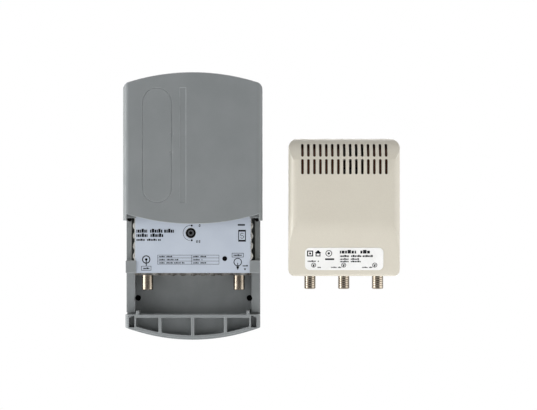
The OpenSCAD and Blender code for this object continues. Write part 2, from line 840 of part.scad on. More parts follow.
// Centre contact, a split tube open to the mating wire, with its tail on the inner side
module connector_contact(x, off, z, length, neck)
    translate([x, -off, z - length + 2 * insulator_recess]) difference() {
        cylinder(h = length + neck - 2 * insulator_recess + tail, r = contact_r);
        translate([0, 0, -over]) cylinder(h = length, r = contact_bore_r);
    }
tail = 2;
neck_in = 2.4;

module input_connector_shell() color("silver")
    connector_shell(-connector_spacing / 2, connector_off, case_rise, thread_len,
        shoulder_len, neck_in);
module input_connector_insulator() color("white")
    connector_insulator(-connector_spacing / 2, connector_off, case_rise, thread_len, neck_in);
module input_connector_contact() color("gold")
    connector_contact(-connector_spacing / 2, connector_off, case_rise, thread_len, neck_in);
module output_connector_shell() color("silver")
    connector_shell(connector_spacing / 2, connector_off, case_rise, thread_len,
        shoulder_len, neck_in);
module output_connector_insulator() color("white")
    connector_insulator(connector_spacing / 2, connector_off, case_rise, thread_len, neck_in);
module output_connector_contact() color("gold")
    connector_contact(connector_spacing / 2, connector_off, case_rise, thread_len, neck_in);

// Side view of the power supply, drawn in by inset; forwards is to the left
module supply_side(inset) {
    low = supply_rise + inset;
    front = supply_d - inset;
    r = top_curve_r - inset;
    translate([-front, supply_top - top_curve_r]) {
        translate([r, 0]) circle(r);
    }
    translate([-front + r, low]) square([front - r, supply_h - 2 * inset]);
    polygon([[0, low], [-front + lean_back, low], [-front, supply_rise + bend_rise],
        [-front, supply_top - top_curve_r], [0, supply_top - top_curve_r]]);
}

// Solid of the power supply, drawn in by inset
module supply_solid(inset) intersection() {
    translate([-supply_w / 2, 0, 0]) rotate([90, 0, 90])
        linear_extrude(height = supply_w) supply_side(inset);
    forward(0, supply_d) translate([0, supply_rise + inset]) supply_outline(inset);
    translate([0, 0, supply_rise]) linear_extrude(height = supply_h) supply_plan(inset);
}

// Front view of the power supply, standing on y = 0 and drawn in by inset at the sides
module supply_outline(inset) {
    half = supply_w / 2 - inset;
    high = supply_h - 2 * inset;
    upper_r = supply_corner_r - inset / 2;
    lower_r = supply_foot_r - inset / 2;
    translate([-half, lower_r]) square([2 * half, high - upper_r - lower_r]);
    translate([-half + lower_r, 0]) square([2 * half - 2 * lower_r, high / 2]);
    translate([-half + upper_r, high / 2]) square([2 * half - 2 * upper_r, high / 2]);
    for (side = [-1, 1]) {
        translate([side * (half - lower_r), lower_r]) circle(lower_r);
        translate([side * (half - upper_r), high - upper_r]) circle(upper_r);
    }
}

// Plan view of the power supply, with its long front edges rounded
module supply_plan(inset) {
    half = supply_w / 2 - inset;
    front = supply_d - inset;
    r = supply_edge_r - inset;
    translate([-half, -front + r]) square([2 * half, front - r]);
    translate([-half + r, -front]) square([2 * half - 2 * r, front]);
    for (side = [-1, 1]) translate([side * (half - r), -front + r]) circle(r);
}

// Moves what follows to the power supply's own middle
module at_supply() translate([supply_x, 0, 0]) children();

// Places for the four screws that join the shells
module at_case_screws()
    for (side = [-1, 1], z = [supply_rise + case_screw_inset, supply_top - case_screw_inset])
        translate([side * (supply_w / 2 - case_screw_inset), 0, z]) children();
case_screw_inset = 5;
case_pillar_r = 3.4;
case_pillar_len = 14;
case_screw_len = 18;
case_head_sink = 1.8;

module supply_front_shell() color("beige") at_supply() difference() {
    union() {
        intersection() {
            difference() {
                supply_solid(0);
                supply_solid(shell_wall);
            }
            block(0, rear_d, supply_rise, supply_w, supply_d, supply_h);
        }
        intersection() {
            supply_solid(shell_wall / 2);
            at_case_screws() bar(0, rear_d + case_pillar_gap, 0, case_pillar_r, case_pillar_len);
        }
    }
    at_case_screws() bar(0, rear_d, 0, pilot_r, case_pillar_len - shell_wall);
    for (i = [0 : vent_count - 1]) {
        x = (i - (vent_count - 1) / 2) * vent_pitch;
        vent_slot(x, supply_rise + vent_rise, vent_low_h);
        vent_slot(x, supply_rise + vent_rise + vent_low_h + vent_row_gap, vent_high_h);
    }
    for (i = [-1 : 1])
        translate([i * supply_connector_spacing, -supply_connector_off, supply_rise - over])
            cylinder(h = shell_wall + 2 * over, r = thread_r + seat);
}
case_pillar_gap = 0.2;
vent_back = 2;

// Cut of one round-ended vent slot, its lower end at z
module vent_slot(x, z, high) forward(rear_d + vent_back, supply_d) translate([x, z]) {
    translate([-vent_w / 2, vent_w / 2]) square([vent_w, high - vent_w]);
    for (end = [vent_w / 2, high - vent_w / 2]) translate([0, end]) circle(vent_w / 2);
}

module supply_rear_shell() color("beige") at_supply() difference() {
    union() {
        intersection() {
            difference() {
                supply_solid(0);
                intersection() {
                    supply_solid(shell_wall);
                    block(0, shell_wall, supply_rise, supply_w, supply_d, supply_h);
                }
            }
            block(0, 0, supply_rise, supply_w, rear_d, supply_h);
        }
        at_case_screws() bar(0, 0, 0, case_pillar_r, rear_d);
        at_supply_pillars() bar(0, 0, 0, pillar_d / 2, supply_board_back);
    }
    at_case_screws() {
        bar(0, -over, 0, screw_r + seat, rear_d + 2 * over);
        bar(0, -over, 0, head_r + seat, case_head_sink + head_t + over);
    }
    at_supply_pillars() bar(0, shell_wall, 0, pilot_r, supply_board_back);
    at_pins() bar(0, -over, 0, sleeve_d / 2 + screw_slack, shell_wall + 2 * over);
}

// Places for the four pillars of the power supply's board
module at_supply_pillars()
    for (side = [-1, 1], z = [supply_board_low + pillar_inset,
            supply_board_low + supply_board_h - pillar_inset])
        translate([side * (supply_board_w / 2 - pillar_inset), 0, z]) children();

// Places for the two plug pins
module at_pins()
    for (side = [-1, 1]) translate([side * pin_spacing / 2, 0, pin_z]) children();

module supply_label() color("white") at_supply()
    translate([0, -supply_d + lean_back, supply_rise]) rotate([lean_angle, 0, 0])
        translate([0, 0, plate_rise]) rotate([90, 0, 0])
            linear_extrude(height = plate_t) rounded(plate_w, plate_h, plate_r);
plate_t = 0.3;

module supply_board() color("darkgreen") at_supply() difference() {
    block(0, supply_board_back, supply_board_low, supply_board_w, board_t, supply_board_h);
    at_supply_pillars() bar(0, supply_board_back - over, 0, screw_r + seat, board_t + 2 * over);
    at_pins() bar(0, supply_board_back - over, 0, pin_core_d / 2 + seat, board_t + 2 * over);
}

module supply_board_screws() color("silver") at_supply()
    at_supply_pillars() screw_at(supply_board_front, supply_board_front - shell_wall - over);

// Screws that enter from the wall side, their heads sunk in the rear shell
module case_screws() color("silver") at_supply() at_case_screws() mirror([0, 1, 0])
    translate([0, case_head_sink + head_t, 0]) difference() {
        union() {
            bar(0, -case_screw_len, 0, pilot_r - screw_slack, case_screw_len);
            bar(0, 0, 0, head_r, head_t);
        }
        block(0, head_t - drive_d, -drive_w / 2, 2 * head_r + over, drive_d + over, drive_w);
    }

module transformer_core() color("dimgray") at_supply() difference() {
    block(0, core_back, core_z, core_w, core_d, core_h);
    for (side = [-1, 1])
        block(side * (core_leg + window_w) / 2, core_back - over, core_z + (core_h - window_h) / 2,
            window_w, core_d + 2 * over, window_h);
}
core_leg = 10;
core_back = supply_board_front + bobbin_d / 2 - core_d / 2;

module transformer_bobbin() color("ivory") at_supply() difference() {
    for (z = [0, window_h - bobbin_t])
        block(0, supply_board_front, core_z + (core_h - window_h) / 2 + z,
            core_leg + 2 * window_w - 2 * seat, bobbin_d, bobbin_t);
    block(0, core_back - seat, core_z, core_leg + 2 * seat, core_d + 2 * seat, core_h);
}

module transformer_winding() color("sienna") at_supply() difference() {
    winding_block(core_leg + 2 * window_w - 2 * winding_gap, core_d + 2 * winding_out);
    winding_block(core_leg + 2 * seat, core_d + 2 * seat);
}
// The wound block between the bobbin's flanges, of the given width and depth
module winding_block(wide, deep)
    block(0, core_back + core_d / 2 - deep / 2, core_z + (core_h - window_h) / 2 + bobbin_t,
        wide, deep, window_h - 2 * bobbin_t);
winding_gap = 0.6;
winding_out = 5;

module reservoir_capacitor() color("midnightblue") at_supply()
    bar(reservoir_x, supply_board_front, reservoir_z, reservoir_r, reservoir_len);
reservoir_x = 28;
reservoir_z = core_z + core_h / 4;
reservoir_r = 6.2;
reservoir_len = 21;

module rectifier_diodes() color("black") at_supply()
    for (i = [0 : diode_count - 1])
        translate([diode_x + i * diode_pitch, -supply_board_front - diode_r, diode_z])
            cylinder(h = diode_len, r = diode_r);
diode_count = 4;
diode_x = -30;
parts_rise = 10;
diode_z = supply_board_low + parts_rise;
diode_pitch = 5;
diode_r = 1.4;
diode_len = 5.2;

module voltage_regulator() color("black") at_supply()
    block(regulator_x, supply_board_front, regulator_z, regulator_w, regulator_h, regulator_t);
regulator_x = 20;
regulator_z = supply_board_low + parts_rise;
regulator_w = 10;
regulator_t = 4.4;
regulator_h = 15;

module regulator_heat_sink() color("darkgray") at_supply() {
    block(regulator_x, supply_board_front, regulator_z + regulator_t, sink_w, sink_depth, sink_base);
    for (i = [0 : sink_fins - 1])
        block(regulator_x + (i / (sink_fins - 1) - 1 / 2) * (sink_w - sink_fin),
            supply_board_front,
            regulator_z + regulator_t + sink_base, sink_fin, sink_depth, sink_fin_h);
}
sink_w = 18;
sink_depth = 17;
sink_base = 1.4;
sink_fin = 1;
sink_fins = 5;
sink_fin_h = 4;

module splitter_can() color("silver") at_supply() difference() {
    block(0, can_back, can_low, can_w, can_d, can_h);
    block(0, can_back + can_t, can_low + can_t, can_w - 2 * can_t, can_d, can_h - 2 * can_t);
    for (i = [-1 : 1])
        translate([i * supply_connector_spacing, -supply_connector_off, can_low - over])
            cylinder(h = can_t + 2 * over, r = neck_r + seat);
}
can_back = supply_connector_off - can_d / 2;

module splitter_can_lid() color("gainsboro") at_supply()
    block(0, can_back + can_d, can_low, can_w, can_t, can_h);

module splitter_ferrite() color("dimgray") at_supply()
    translate([supply_connector_spacing / 2, -can_back - can_t, can_low + can_h / 2])
        rotate([90, 0, 0]) difference() {
            cylinder(h = ferrite_t, r = ferrite_r);
            translate([0, 0, -over]) cylinder(h = ferrite_t + 2 * over, r = ferrite_r / 2);
        }
ferrite_t = 5;
ferrite_r = 4;

// Length of a supply connector's thread from its end to the can that it is fixed to
supply_thread = supply_thread_len + shell_wall + can_gap;
module supply_shell(i)
    connector_shell(i * supply_connector_spacing, supply_connector_off, can_low, supply_thread,
        shell_wall + can_gap, neck_in);
module left_connector_shell() color("silver") at_supply() supply_shell(-1);
module middle_connector_shell() color("silver") at_supply() supply_shell(0);
module right_connector_shell() color("silver") at_supply() supply_shell(1);

module supply_connector_insulators() color("white") at_supply()
    for (i = [-1 : 1])
        connector_insulator(i * supply_connector_spacing, supply_connector_off, can_low,
            supply_thread, neck_in);

module supply_connector_contacts() color("gold") at_supply()
    for (i = [-1 : 1])
        connector_contact(i * supply_connector_spacing, supply_connector_off, can_low,
            supply_thread, neck_in);

// Bare round-ended tips on thinner cores that run through the sleeves to the board
module plug_pins() color("silver") at_supply() at_pins() {
    bar(0, -sleeve_len, 0, pin_core_d / 2, sleeve_len + supply_board_front + strip_t);
    bar(0, -pin_len + pin_d / 2, 0, pin_d / 2, pin_len - pin_d / 2 - sleeve_len);
    translate([0, pin_len - pin_d / 2, 0]) sphere(pin_d / 2);
}

module pin_sleeves() color("black") at_supply() at_pins() difference() {
    bar(0, -sleeve_len, 0, sleeve_d / 2, sleeve_len + shell_wall);
    bar(0, -sleeve_len - over, 0, pin_core_d / 2 + screw_slack, sleeve_len + shell_wall + 2 * over);
}

module plug_contact_strips() color("goldenrod") at_supply() at_pins() difference() {
    block(0, supply_board_front, -strip_w / 2, strip_w, strip_t, strip_h);
    bar(0, supply_board_front - over, 0, pin_core_d / 2 + screw_slack, strip_t + 2 * over);
}
strip_w = 5;
strip_t = 0.5;
strip_h = 6;

base_tray();
cable_end_block();
mast_saddle();
saddle_screws();
sliding_cover();
module_case();
module_lid();
module_label();
amplifier_board();
board_screws();
gain_trimmer_body();
gain_trimmer_rotor();
amplifier_chip();
filter_coils();
ceramic_capacitors();
power_feed_choke();
smoothing_capacitor();
input_connector_shell();
input_connector_insulator();
input_connector_contact();
output_connector_shell();
output_connector_insulator();
output_connector_contact();
supply_front_shell();
supply_rear_shell();
supply_label();
supply_board();
supply_board_screws();
case_screws();
transformer_core();
transformer_bobbin();
transformer_winding();
reservoir_capacitor();
rectifier_diodes();
voltage_regulator();
regulator_heat_sink();
splitter_can();
splitter_can_lid();
splitter_ferrite();
left_connector_shell();
middle_connector_shell();
right_connector_shell();
supply_connector_insulators();
supply_connector_contacts();
plug_pins();
pin_sleeves();
plug_contact_strips();
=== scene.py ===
"""Looks of an aerial amplifier in its mast box and of the plug-in supply beside it.

Sizes are in millimetres, depths are distances in front of the wall plane, and the heights start
at the wall screws, as in the frame. Meshes are made in metres.
"""

import logging
import math
from collections.abc import Callable
from dataclasses import dataclass
from enum import Enum

import bmesh
import bpy
import numpy as np
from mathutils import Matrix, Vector


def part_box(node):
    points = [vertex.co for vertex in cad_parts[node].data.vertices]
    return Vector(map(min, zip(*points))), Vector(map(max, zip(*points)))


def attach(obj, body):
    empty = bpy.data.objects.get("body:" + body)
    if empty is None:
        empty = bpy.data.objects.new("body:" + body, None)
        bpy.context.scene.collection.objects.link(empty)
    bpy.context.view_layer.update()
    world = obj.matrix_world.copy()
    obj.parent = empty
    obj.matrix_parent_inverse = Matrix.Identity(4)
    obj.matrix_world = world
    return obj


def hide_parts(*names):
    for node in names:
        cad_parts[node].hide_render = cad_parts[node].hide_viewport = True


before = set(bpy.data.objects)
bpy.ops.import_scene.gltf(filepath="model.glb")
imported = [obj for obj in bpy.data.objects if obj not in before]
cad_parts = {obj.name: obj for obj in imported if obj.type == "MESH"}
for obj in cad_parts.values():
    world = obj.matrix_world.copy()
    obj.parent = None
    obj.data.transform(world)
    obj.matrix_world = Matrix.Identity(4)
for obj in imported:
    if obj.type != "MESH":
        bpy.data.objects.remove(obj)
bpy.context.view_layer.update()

MM = 0.001
SAME_POINT = 2e-6
SAME_CAD_POINT = 5e-6
FLAT = math.radians(0.1)
ROUNDED = math.radians(35)
ONE_FACE = math.radians(40)
FOLDED = math.radians(130)
NO_CREASE = 180.0
ROOM_SHARE = 0.42
TRIMMER = (-1.8, 54.0)
LOG = logging.getLogger("amplifier")
Array = np.ndarray
Piece = bpy.types.Object
Mesh = bpy.types.Mesh
Work = bmesh.types.BMesh
Output = bpy.types.NodeSocket
Pair = tuple[float, float]
Triple = tuple[float, float, float]
Space = tuple[float, float, float, float, float, float]


def grid_faces(rows: int, cols: int, wrap_rows: bool = False, wrap_cols: bool = False,
               keep: Array | None = None) -> Array:
    """Quads between neighbouring points of a grid that is stored row by row.

    Args:
        rows: number of rows of points.
        cols: number of points in a row.
        wrap_rows: True to join the last row to the first.
        wrap_cols: True to join the last column to the first.
        keep: mask of the quads to keep, one value a quad, or None for all.

    Returns:
        Point numbers, four a face.
    """
    i, j = np.meshgrid(np.arange(rows if wrap_rows else rows - 1),
                       np.arange(cols if wrap_cols else cols - 1), indexing="ij")
    up, right = (i + 1) % rows, (j + 1) % cols
    quads = np.stack([i * cols + j, i * cols + right, up * cols + right, up * cols + j], axis=-1)
    return quads.reshape(-1, 4) if keep is None else quads[keep]


def grid_points(x: Array, y: Array, z: Array | float) -> Array:
    """A grid of points, from coordinates that stretch to one shape."""
    return np.stack(np.broadcast_arrays(x, y, z), axis=-1)


def linked(name: str, data: bpy.types.ID) -> Piece:
    """A new object of the scene that holds this data."""
    made = bpy.data.objects.new(name, data)
    bpy.context.collection.objects.link(made)
    return made


def plain_object(name: str, points: Array, faces: Array) -> Piece:
    """An object from points in millimetres and the point numbers of its faces."""
    mesh = bpy.data.meshes.new(name)
    mesh.from_pydata((points.reshape(-1, 3) * MM).tolist(), [], faces.tolist())
    return linked(name, mesh)


def new_piece(name: str, points: Array, faces: Array) -> Piece:
    """Makes one clean piece from points in millimetres.

    Args:
        name: the piece's name.
        points: x, y and z of each point, in the row frame.
        faces: point numbers of each face.

    Returns:
        The piece, not yet settled.
    """
    piece = plain_object(name, points, faces)
    work = bmesh.new()
    work.from_mesh(piece.data)
    bmesh.ops.remove_doubles(work, verts=work.verts, dist=SAME_POINT)
    bmesh.ops.dissolve_degenerate(work, edges=work.edges, dist=SAME_POINT)
    bmesh.ops.recalc_face_normals(work, faces=work.faces)
    work.to_mesh(piece.data)
    work.free()
    return piece


def settle(piece: Piece, kind: "Kind", body: str, replaces: tuple[str, ...] = (),
           sharp: float = 40.0) -> Piece:
    """Gives a piece its finish and shading, and hangs it on its body.

    Args:
        piece: the object to finish.
        kind: what it is made of.
        body: the body that carries it.
        replaces: nodes of the frame that it stands for.
        sharp: angle in degrees above which an edge is shaded as a crease.

    Returns:
        The piece.
    """
    mesh, finish = piece.data, kind.value
    mesh.materials.clear()
    mesh.materials.append(finish.material())
    mesh.polygons.foreach_set("use_smooth", np.ones(len(mesh.polygons), bool))
    mesh.set_sharp_from_angle(angle=math.radians(sharp))
    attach(piece, body)
    if replaces:
        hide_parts(*replaces)
    LOG.info("%s: %d faces on %s", piece.name, len(mesh.polygons), body)
    return piece


def within(point: bmesh.types.BMVert, space: Space) -> bool:
    """True for a point between a space's lowest and highest x, y and z."""
    return all(space[k] < point.co[k] / MM < space[k + 3] for k in range(3))


def values(rows: bpy.types.bpy_prop_collection, name: str, width: int = 1,
           kind: type = float) -> Array:
    """One number or vector of each row of a mesh's points, corners or faces."""
    result = np.empty(width * len(rows), kind)
    rows.foreach_get(name, result)
    return result.reshape(-1, width) if width > 1 else result


def mark_painted_light(mesh: Mesh, domain: str, share: Array) -> None:
    """Writes how much of the finish's painted light colour each face or point takes: a painted
    highlight on rounded edges, painted shade in thread grooves and on the lid's lower border.
    """
    if "edge" in mesh.attributes:
        mesh.attributes.remove(mesh.attributes["edge"])
    mesh.attributes.new("edge", "FLOAT", domain).data.foreach_set("value", share.astype(float))


def edge_room(work: Work, edge: float, crisp: Space | None) -> None:
    """Writes each sharp edge's share of the full rounding.

    A run of sharp edges is rounded by the same width all along. That is the full width, or a
    set share of the shortest edge that meets the run from the side, where this is less.

    Args:
        work: the mesh, in metres.
        edge: the full width in metres.
        crisp: lowest and highest x, y and z of the space where edges stay sharp, or None.
    """
    share = work.edges.layers.float.new("bevel_weight_edge")
    sharp = {e for e in work.edges
             if len(e.link_faces) == 2 and ROUNDED < e.calc_face_angle() < FOLDED
             and not (crisp and within(e.verts[0], crisp))}
    room, follow = {}, {}
    for point in work.verts:
        mine = [e for e in point.link_edges if e in sharp]
        passing = len(mine) == 2
        limits = [e.calc_length() for e in point.link_edges if not (passing and e in sharp)]
        room[point] = ROOM_SHARE * min(limits, default=1.0)
        follow[point] = mine if passing else []
    left = set(sharp)
    while left:
        first = left.pop()
        run, ahead = [first], [first]
        while ahead:
            for point in ahead.pop().verts:
                for other in follow[point]:
                    if other in left:
                        left.discard(other)
                        run.append(other)
                        ahead.append(other)
        width = min(room[point] for e in run for point in e.verts)
        for e in run:
            e[share] = min(1.0, width / edge)


def corner_normals(mesh: Mesh) -> Array:
    """Normals under which flat faces stay flat and narrow ones turn between them.

    Each corner takes the mean normal of the faces round its point that lie within a set
    angle of its own face, and the square of a face's area is its weight.

    Args:
        mesh: the finished mesh.

    Returns:
        One normal a corner.
    """
    corner = values(mesh.loops, "vertex_index", kind=np.int32)
    sides = values(mesh.polygons, "loop_total", kind=np.int32)
    area = values(mesh.polygons, "area")
    order = np.argsort(corner, kind="stable")
    point = corner[order]
    face = np.repeat(np.arange(len(sides)), sides)[order]
    own = values(mesh.polygons, "normal", 3)[face]
    pull = own * (area[face] / area.max())[:, None] ** 2
    total, least = pull.copy(), math.cos(ONE_FACE)
    for step in range(1, int(np.bincount(point).max())):
        near = (point[step:] == point[:-step]) & ((own[step:] * own[:-step]).sum(1) > least)
        first = np.nonzero(near)[0]
        total[first] += pull[first + step]
        total[first + step] += pull[first]
    size = np.linalg.norm(total, axis=1, keepdims=True)
    result = np.empty_like(total)
    result[order] = np.where(size > 1e-30, total / np.maximum(size, 1e-30), own)
    return result


def cad_copy(node: str, name: str, kind: "Kind", body: str, edge: float, segments: int = 2,
             soften: Callable[[Work], None] | None = None, crisp: Space | None = None) -> Piece:
    """Copies a node's solid, merges its triangles and rounds its edges.

    Args:
        node: the frame's node.
        name: name of the new piece.
        kind: what the piece is made of.
        body: the body that carries it.
        edge: radius of the rounded edges in millimetres.
        segments: faces across a rounded edge.
        soften: wider roundings of the piece's own, made first.
        crisp: lowest and highest x, y and z of the space where edges stay sharp, or None.

    Returns:
        The piece, which stands for the node.
    """
    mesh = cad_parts[node].data.copy()
    work = bmesh.new()
    work.from_mesh(mesh)
    bmesh.ops.remove_doubles(work, verts=work.verts, dist=SAME_CAD_POINT)
    bmesh.ops.dissolve_limit(work, angle_limit=FLAT, verts=work.verts, edges=work.edges,
                             delimit={"NORMAL"})
    if soften:
        soften(work)
    edge_room(work, edge * MM, crisp)
    work.to_mesh(mesh)
    work.free()
    piece = linked(name, mesh)
    bevel = piece.modifiers.new("rounded edges", "BEVEL")
    bevel.width = edge * MM
    bevel.segments = segments
    bevel.limit_method = "WEIGHT"
    bevel.use_clamp_overlap = False
    mesh.materials.clear()
    for _ in range(2):
        mesh.materials.append(kind.value.material())
    bevel.material = 1
    bpy.context.view_layer.update()
    rounded = piece.evaluated_get(bpy.context.evaluated_depsgraph_get())
    piece.data = mesh = bpy.data.meshes.new_from_object(rounded)
    mesh.name = name
    piece.modifiers.clear()
    # The bevel strips, material 1, are marked for the lighter edge colour: partly edge wear,
    # partly a painted highlight.
    mark_painted_light(mesh, "FACE", values(mesh.polygons, "material_index", kind=np.int32))
    settle(piece, kind, body, (node,), NO_CREASE)
    mesh.normals_split_custom_set(corner_normals(mesh).tolist())
    return piece


class Marks:
    """Printed shapes on one flat face, each a thin closed prism of its own."""

    THICK = 0.04
    TIP_SHARE = 0.02
    ARC_POINTS = 49
    BLOCK_STEP = 0.618
    BLOCK_WIDTHS = (0.6, 0.8)
    BLOCK_GAP = 0.22
    SPACE_EVERY = 7
    TALL_ABOVE, LOW_SHARE = 0.72, 0.78
    STROKE_SHARE, DIGIT_SHARE = 0.22, 0.62
    STROKES = {"0": "abcdef", "2": "abged"}

    def __init__(self, origin: Triple, up: Triple) -> None:
        """Starts an empty sheet of marks.

        Args:
            origin: the sheet's own zero point, in the row frame.
            up: the direction of the sheet's second axis; its first one runs along x.
        """
        self.origin, self.up = np.array(origin), np.array(up)
        self.across = np.array([1.0, 0.0, 0.0])
        self.out = np.cross(self.across, self.up)
        self.points: list[Array] = []
        self.faces: list[Array] = []

    def band(self, inner: Array, outer: Array, closed: bool = False) -> None:
        """Fills the strip between two lines of as many points each.

        Args:
            inner: first line, a row of (across, up) places.
            outer: second line.
            closed: True where the strip runs round and meets itself.
        """
        count = len(inner)
        flat = np.concatenate([inner, outer, outer, inner])
        lift = np.repeat([self.THICK, self.THICK, 0.0, 0.0], count)
        start = sum(len(points) for points in self.points)
        self.points.append(self.origin + flat[:, :1] * self.across + flat[:, 1:] * self.up
                           + lift[:, None] * self.out)
        faces = [grid_faces(4, count, True, closed)]
        if not closed:
            rows = np.arange(4) * count
            faces.append(np.stack([rows, rows[::-1] + count - 1]))
        self.faces.append(np.concatenate(faces) + start)

    def bar(self, left: float, low: float, wide: float, high: float) -> None:
        """A filled rectangle from its lower left corner."""
        base = np.array([[left, low], [left + wide, low]])
        self.band(base, base + [0, high])

    def frame(self, left: float, low: float, wide: float, high: float, line: float) -> None:
        """The outline of a rectangle, line wide, inside its limits."""
        corners = np.array([[0, 0], [1, 0], [1, 1], [0, 1]])
        outer = [left, low] + corners * [wide, high]
        self.band(outer + (1 - 2 * corners) * line, outer, True)

    def ring(self, x: float, y: float, r: float, line: float, start: float = 0.0,
             end: float = 360.0) -> None:
        """A ring or an arc of outer radius r, line wide, between two angles in degrees."""
        closed = end - start >= 360
        angle = np.radians(np.linspace(start, end, self.ARC_POINTS)[:self.ARC_POINTS - closed])
        unit = np.stack([np.cos(angle), np.sin(angle)], 1)
        self.band([x, y] + unit * (r - line), [x, y] + unit * r, closed)

    def wedge(self, x: float, y: float, wide: float, high: float) -> None:
        """A filled triangle with its point at (x, y) and its base above, below if high is < 0."""
        ends = np.array([[-1.0, 0.0], [1.0, 0.0]])
        self.band([x, y] + ends * wide * self.TIP_SHARE, [x, y + high] + ends * wide / 2)

    def words(self, left: float, low: float, wide: float, high: float, mean: float = 1.1) -> None:
        """A line of unreadable blocks, in place of printed words.

        The blocks' widths and heights follow the fractions of a step's multiples, and the
        last block of each group is left out.
        """
        count = max(int(wide / mean), 1)
        part = np.modf(np.arange(count) * self.BLOCK_STEP)[0]
        least, spread = self.BLOCK_WIDTHS
        share = (least + spread * part) * wide / (least + spread * part).sum()
        starts = left + np.cumsum(share) - share
        for k, (start, size) in enumerate(zip(starts, share)):
            if (k + 1) % self.SPACE_EVERY:
                tall = high if part[k] > self.TALL_ABOVE else high * self.LOW_SHARE
                self.bar(start, low, size - self.BLOCK_GAP * mean, tall)

    def number(self, x: float, y: float, text: str, high: float) -> None:
        """Plain digits, drawn as strokes on a seven-stroke pattern, from their lower left."""
        line, wide, half = high * self.STROKE_SHARE, high * self.DIGIT_SHARE, high / 2
        place = {"a": (0, high - line, wide, line), "b": (wide - line, half, line, half),
                 "c": (wide - line, 0, line, half), "d": (0, 0, wide, line),
                 "e": (0, 0, line, half), "f": (0, half, line, half),
                 "g": (0, (high - line) / 2, wide, line)}
        for k, digit in enumerate(text):
            for stroke in self.STROKES[digit]:
                left, low, across, tall = place[stroke]
                self.bar(x + k * (wide + 2 * line) + left, y + low, across, tall)

    def draw(self, shapes: dict[Callable, tuple[tuple, ...]], x: float = 0.0,
             y: float = 0.0) -> None:
        """Draws shapes about a point: rows of places and sizes, by the method they go to."""
        for shape, rows in shapes.items():
            for across, up, *sizes in rows:
                shape(self, x + across, y + up, *sizes)

    def print(self, name: str) -> None:
        """Makes one inked piece of all the marks."""
        settle(new_piece(name, np.concatenate(self.points), np.concatenate(self.faces)),
               Kind.INK, "base")


class Graph:
    """The shader nodes of a material or a world, added one at a time."""

    def __init__(self, owner: bpy.types.Material | bpy.types.World) -> None:
        """Turns the owner's nodes on, and finds its shader.

        Args:
            owner: the material or world.
        """
        owner.use_nodes = True
        self.owner, self.tree = owner, owner.node_tree
        nodes = self.tree.nodes
        self.shader = nodes.get("Principled BSDF") or nodes["Background"]

    def feed(self, node: bpy.types.Node, inputs: dict[str | int, object]) -> None:
        """Links sockets to a node's inputs, or sets the inputs' values.

        Args:
            node: the node that is fed.
            inputs: a socket to link from, or a plain value, by input name or number.
        """
        for key, value in inputs.items():
            if isinstance(value, Output):
                self.tree.links.new(value, node.inputs[key])
            else:
                node.inputs[key].default_value = value

    def add(self, kind: str, inputs: dict[str | int, object], output: str | int = 0,
            **settings: object) -> Output:
        """Adds a node, sets it and feeds it.

        Args:
            kind: the node's type, after the ShaderNode that every one starts with.
            inputs: a socket to link from, or a plain value, by input name or number.
            output: name or number of the output that is wanted.
            settings: the node's own properties.

        Returns:
            The output.
        """
        node = self.tree.nodes.new(f"ShaderNode{kind}")
        for key, value in settings.items():
            setattr(node, key, value)
        self.feed(node, inputs)
        return node.outputs[output]

    def place(self, stretch: Triple) -> Output:
        """Object coordinates, stretched along the axes."""
        return self.add("Mapping", {"Vector": self.add("TexCoord", {}, "Object"),
                                    "Scale": stretch})

    def noise(self, where: Output, size: float, detail: float = 2.0) -> Output:
        """Noise whose features are about size millimetres across, from 0 to 1."""
        return self.add("TexNoise", {"Vector": where, "Scale": 1 / (size * MM), "Detail": detail})

    def span(self, value: Output, low: float, high: float, to_low: float,
             to_high: float) -> Output:
        """Maps low..high to to_low..to_high, and holds it there outside."""
        return self.add("MapRange", {"Value": value, "From Min": low, "From Max": high,
                                     "To Min": to_low, "To Max": to_high})

    def pair(self, operation: str, first: Output, second: Output) -> Output:
        """One result of two values, such as their product."""
        return self.add("Math", {0: first, 1: second}, operation=operation)

    def blend(self, factor: object, first: object, second: object, mode: str = "MIX") -> Output:
        """Mixes two colours by a factor."""
        return self.add("Mix", {0: factor, 6: first, 7: second}, 2, data_type="RGBA",
                        blend_type=mode)

    def bump(self, height: Output, depth: float, under: Output | None = None) -> Output:
        """Normals of a relief that is depth millimetres deep, over another relief's normals."""
        normal = {"Normal": under} if under else {}
        return self.add("Bump", {"Height": height, "Distance": depth * MM, **normal})


def rgba(colour: Triple) -> tuple[float, float, float, float]:
    """A colour given as on screen, made linear, with full alpha."""
    linear = [c / 12.92 if c <= 0.04045 else ((c + 0.055) / 1.055) ** 2.4 for c in colour]
    return (*linear, 1.0)


PATCH_SPAN = (0.35, 0.65, 0.0, 1.0)
FLECK_SPAN = (0.3, 0.7, 0.94, 1.05)
SMUDGE_SPAN = (0.3, 0.7)
WEAR_AND_PAINTED_LIGHT_SPAN = (0.3, 0.6, 0.5, 0.95)
WEAR_AND_PAINTED_LIGHT_SIZE = 6.0
SMUDGE_SHARE = 1 / 3


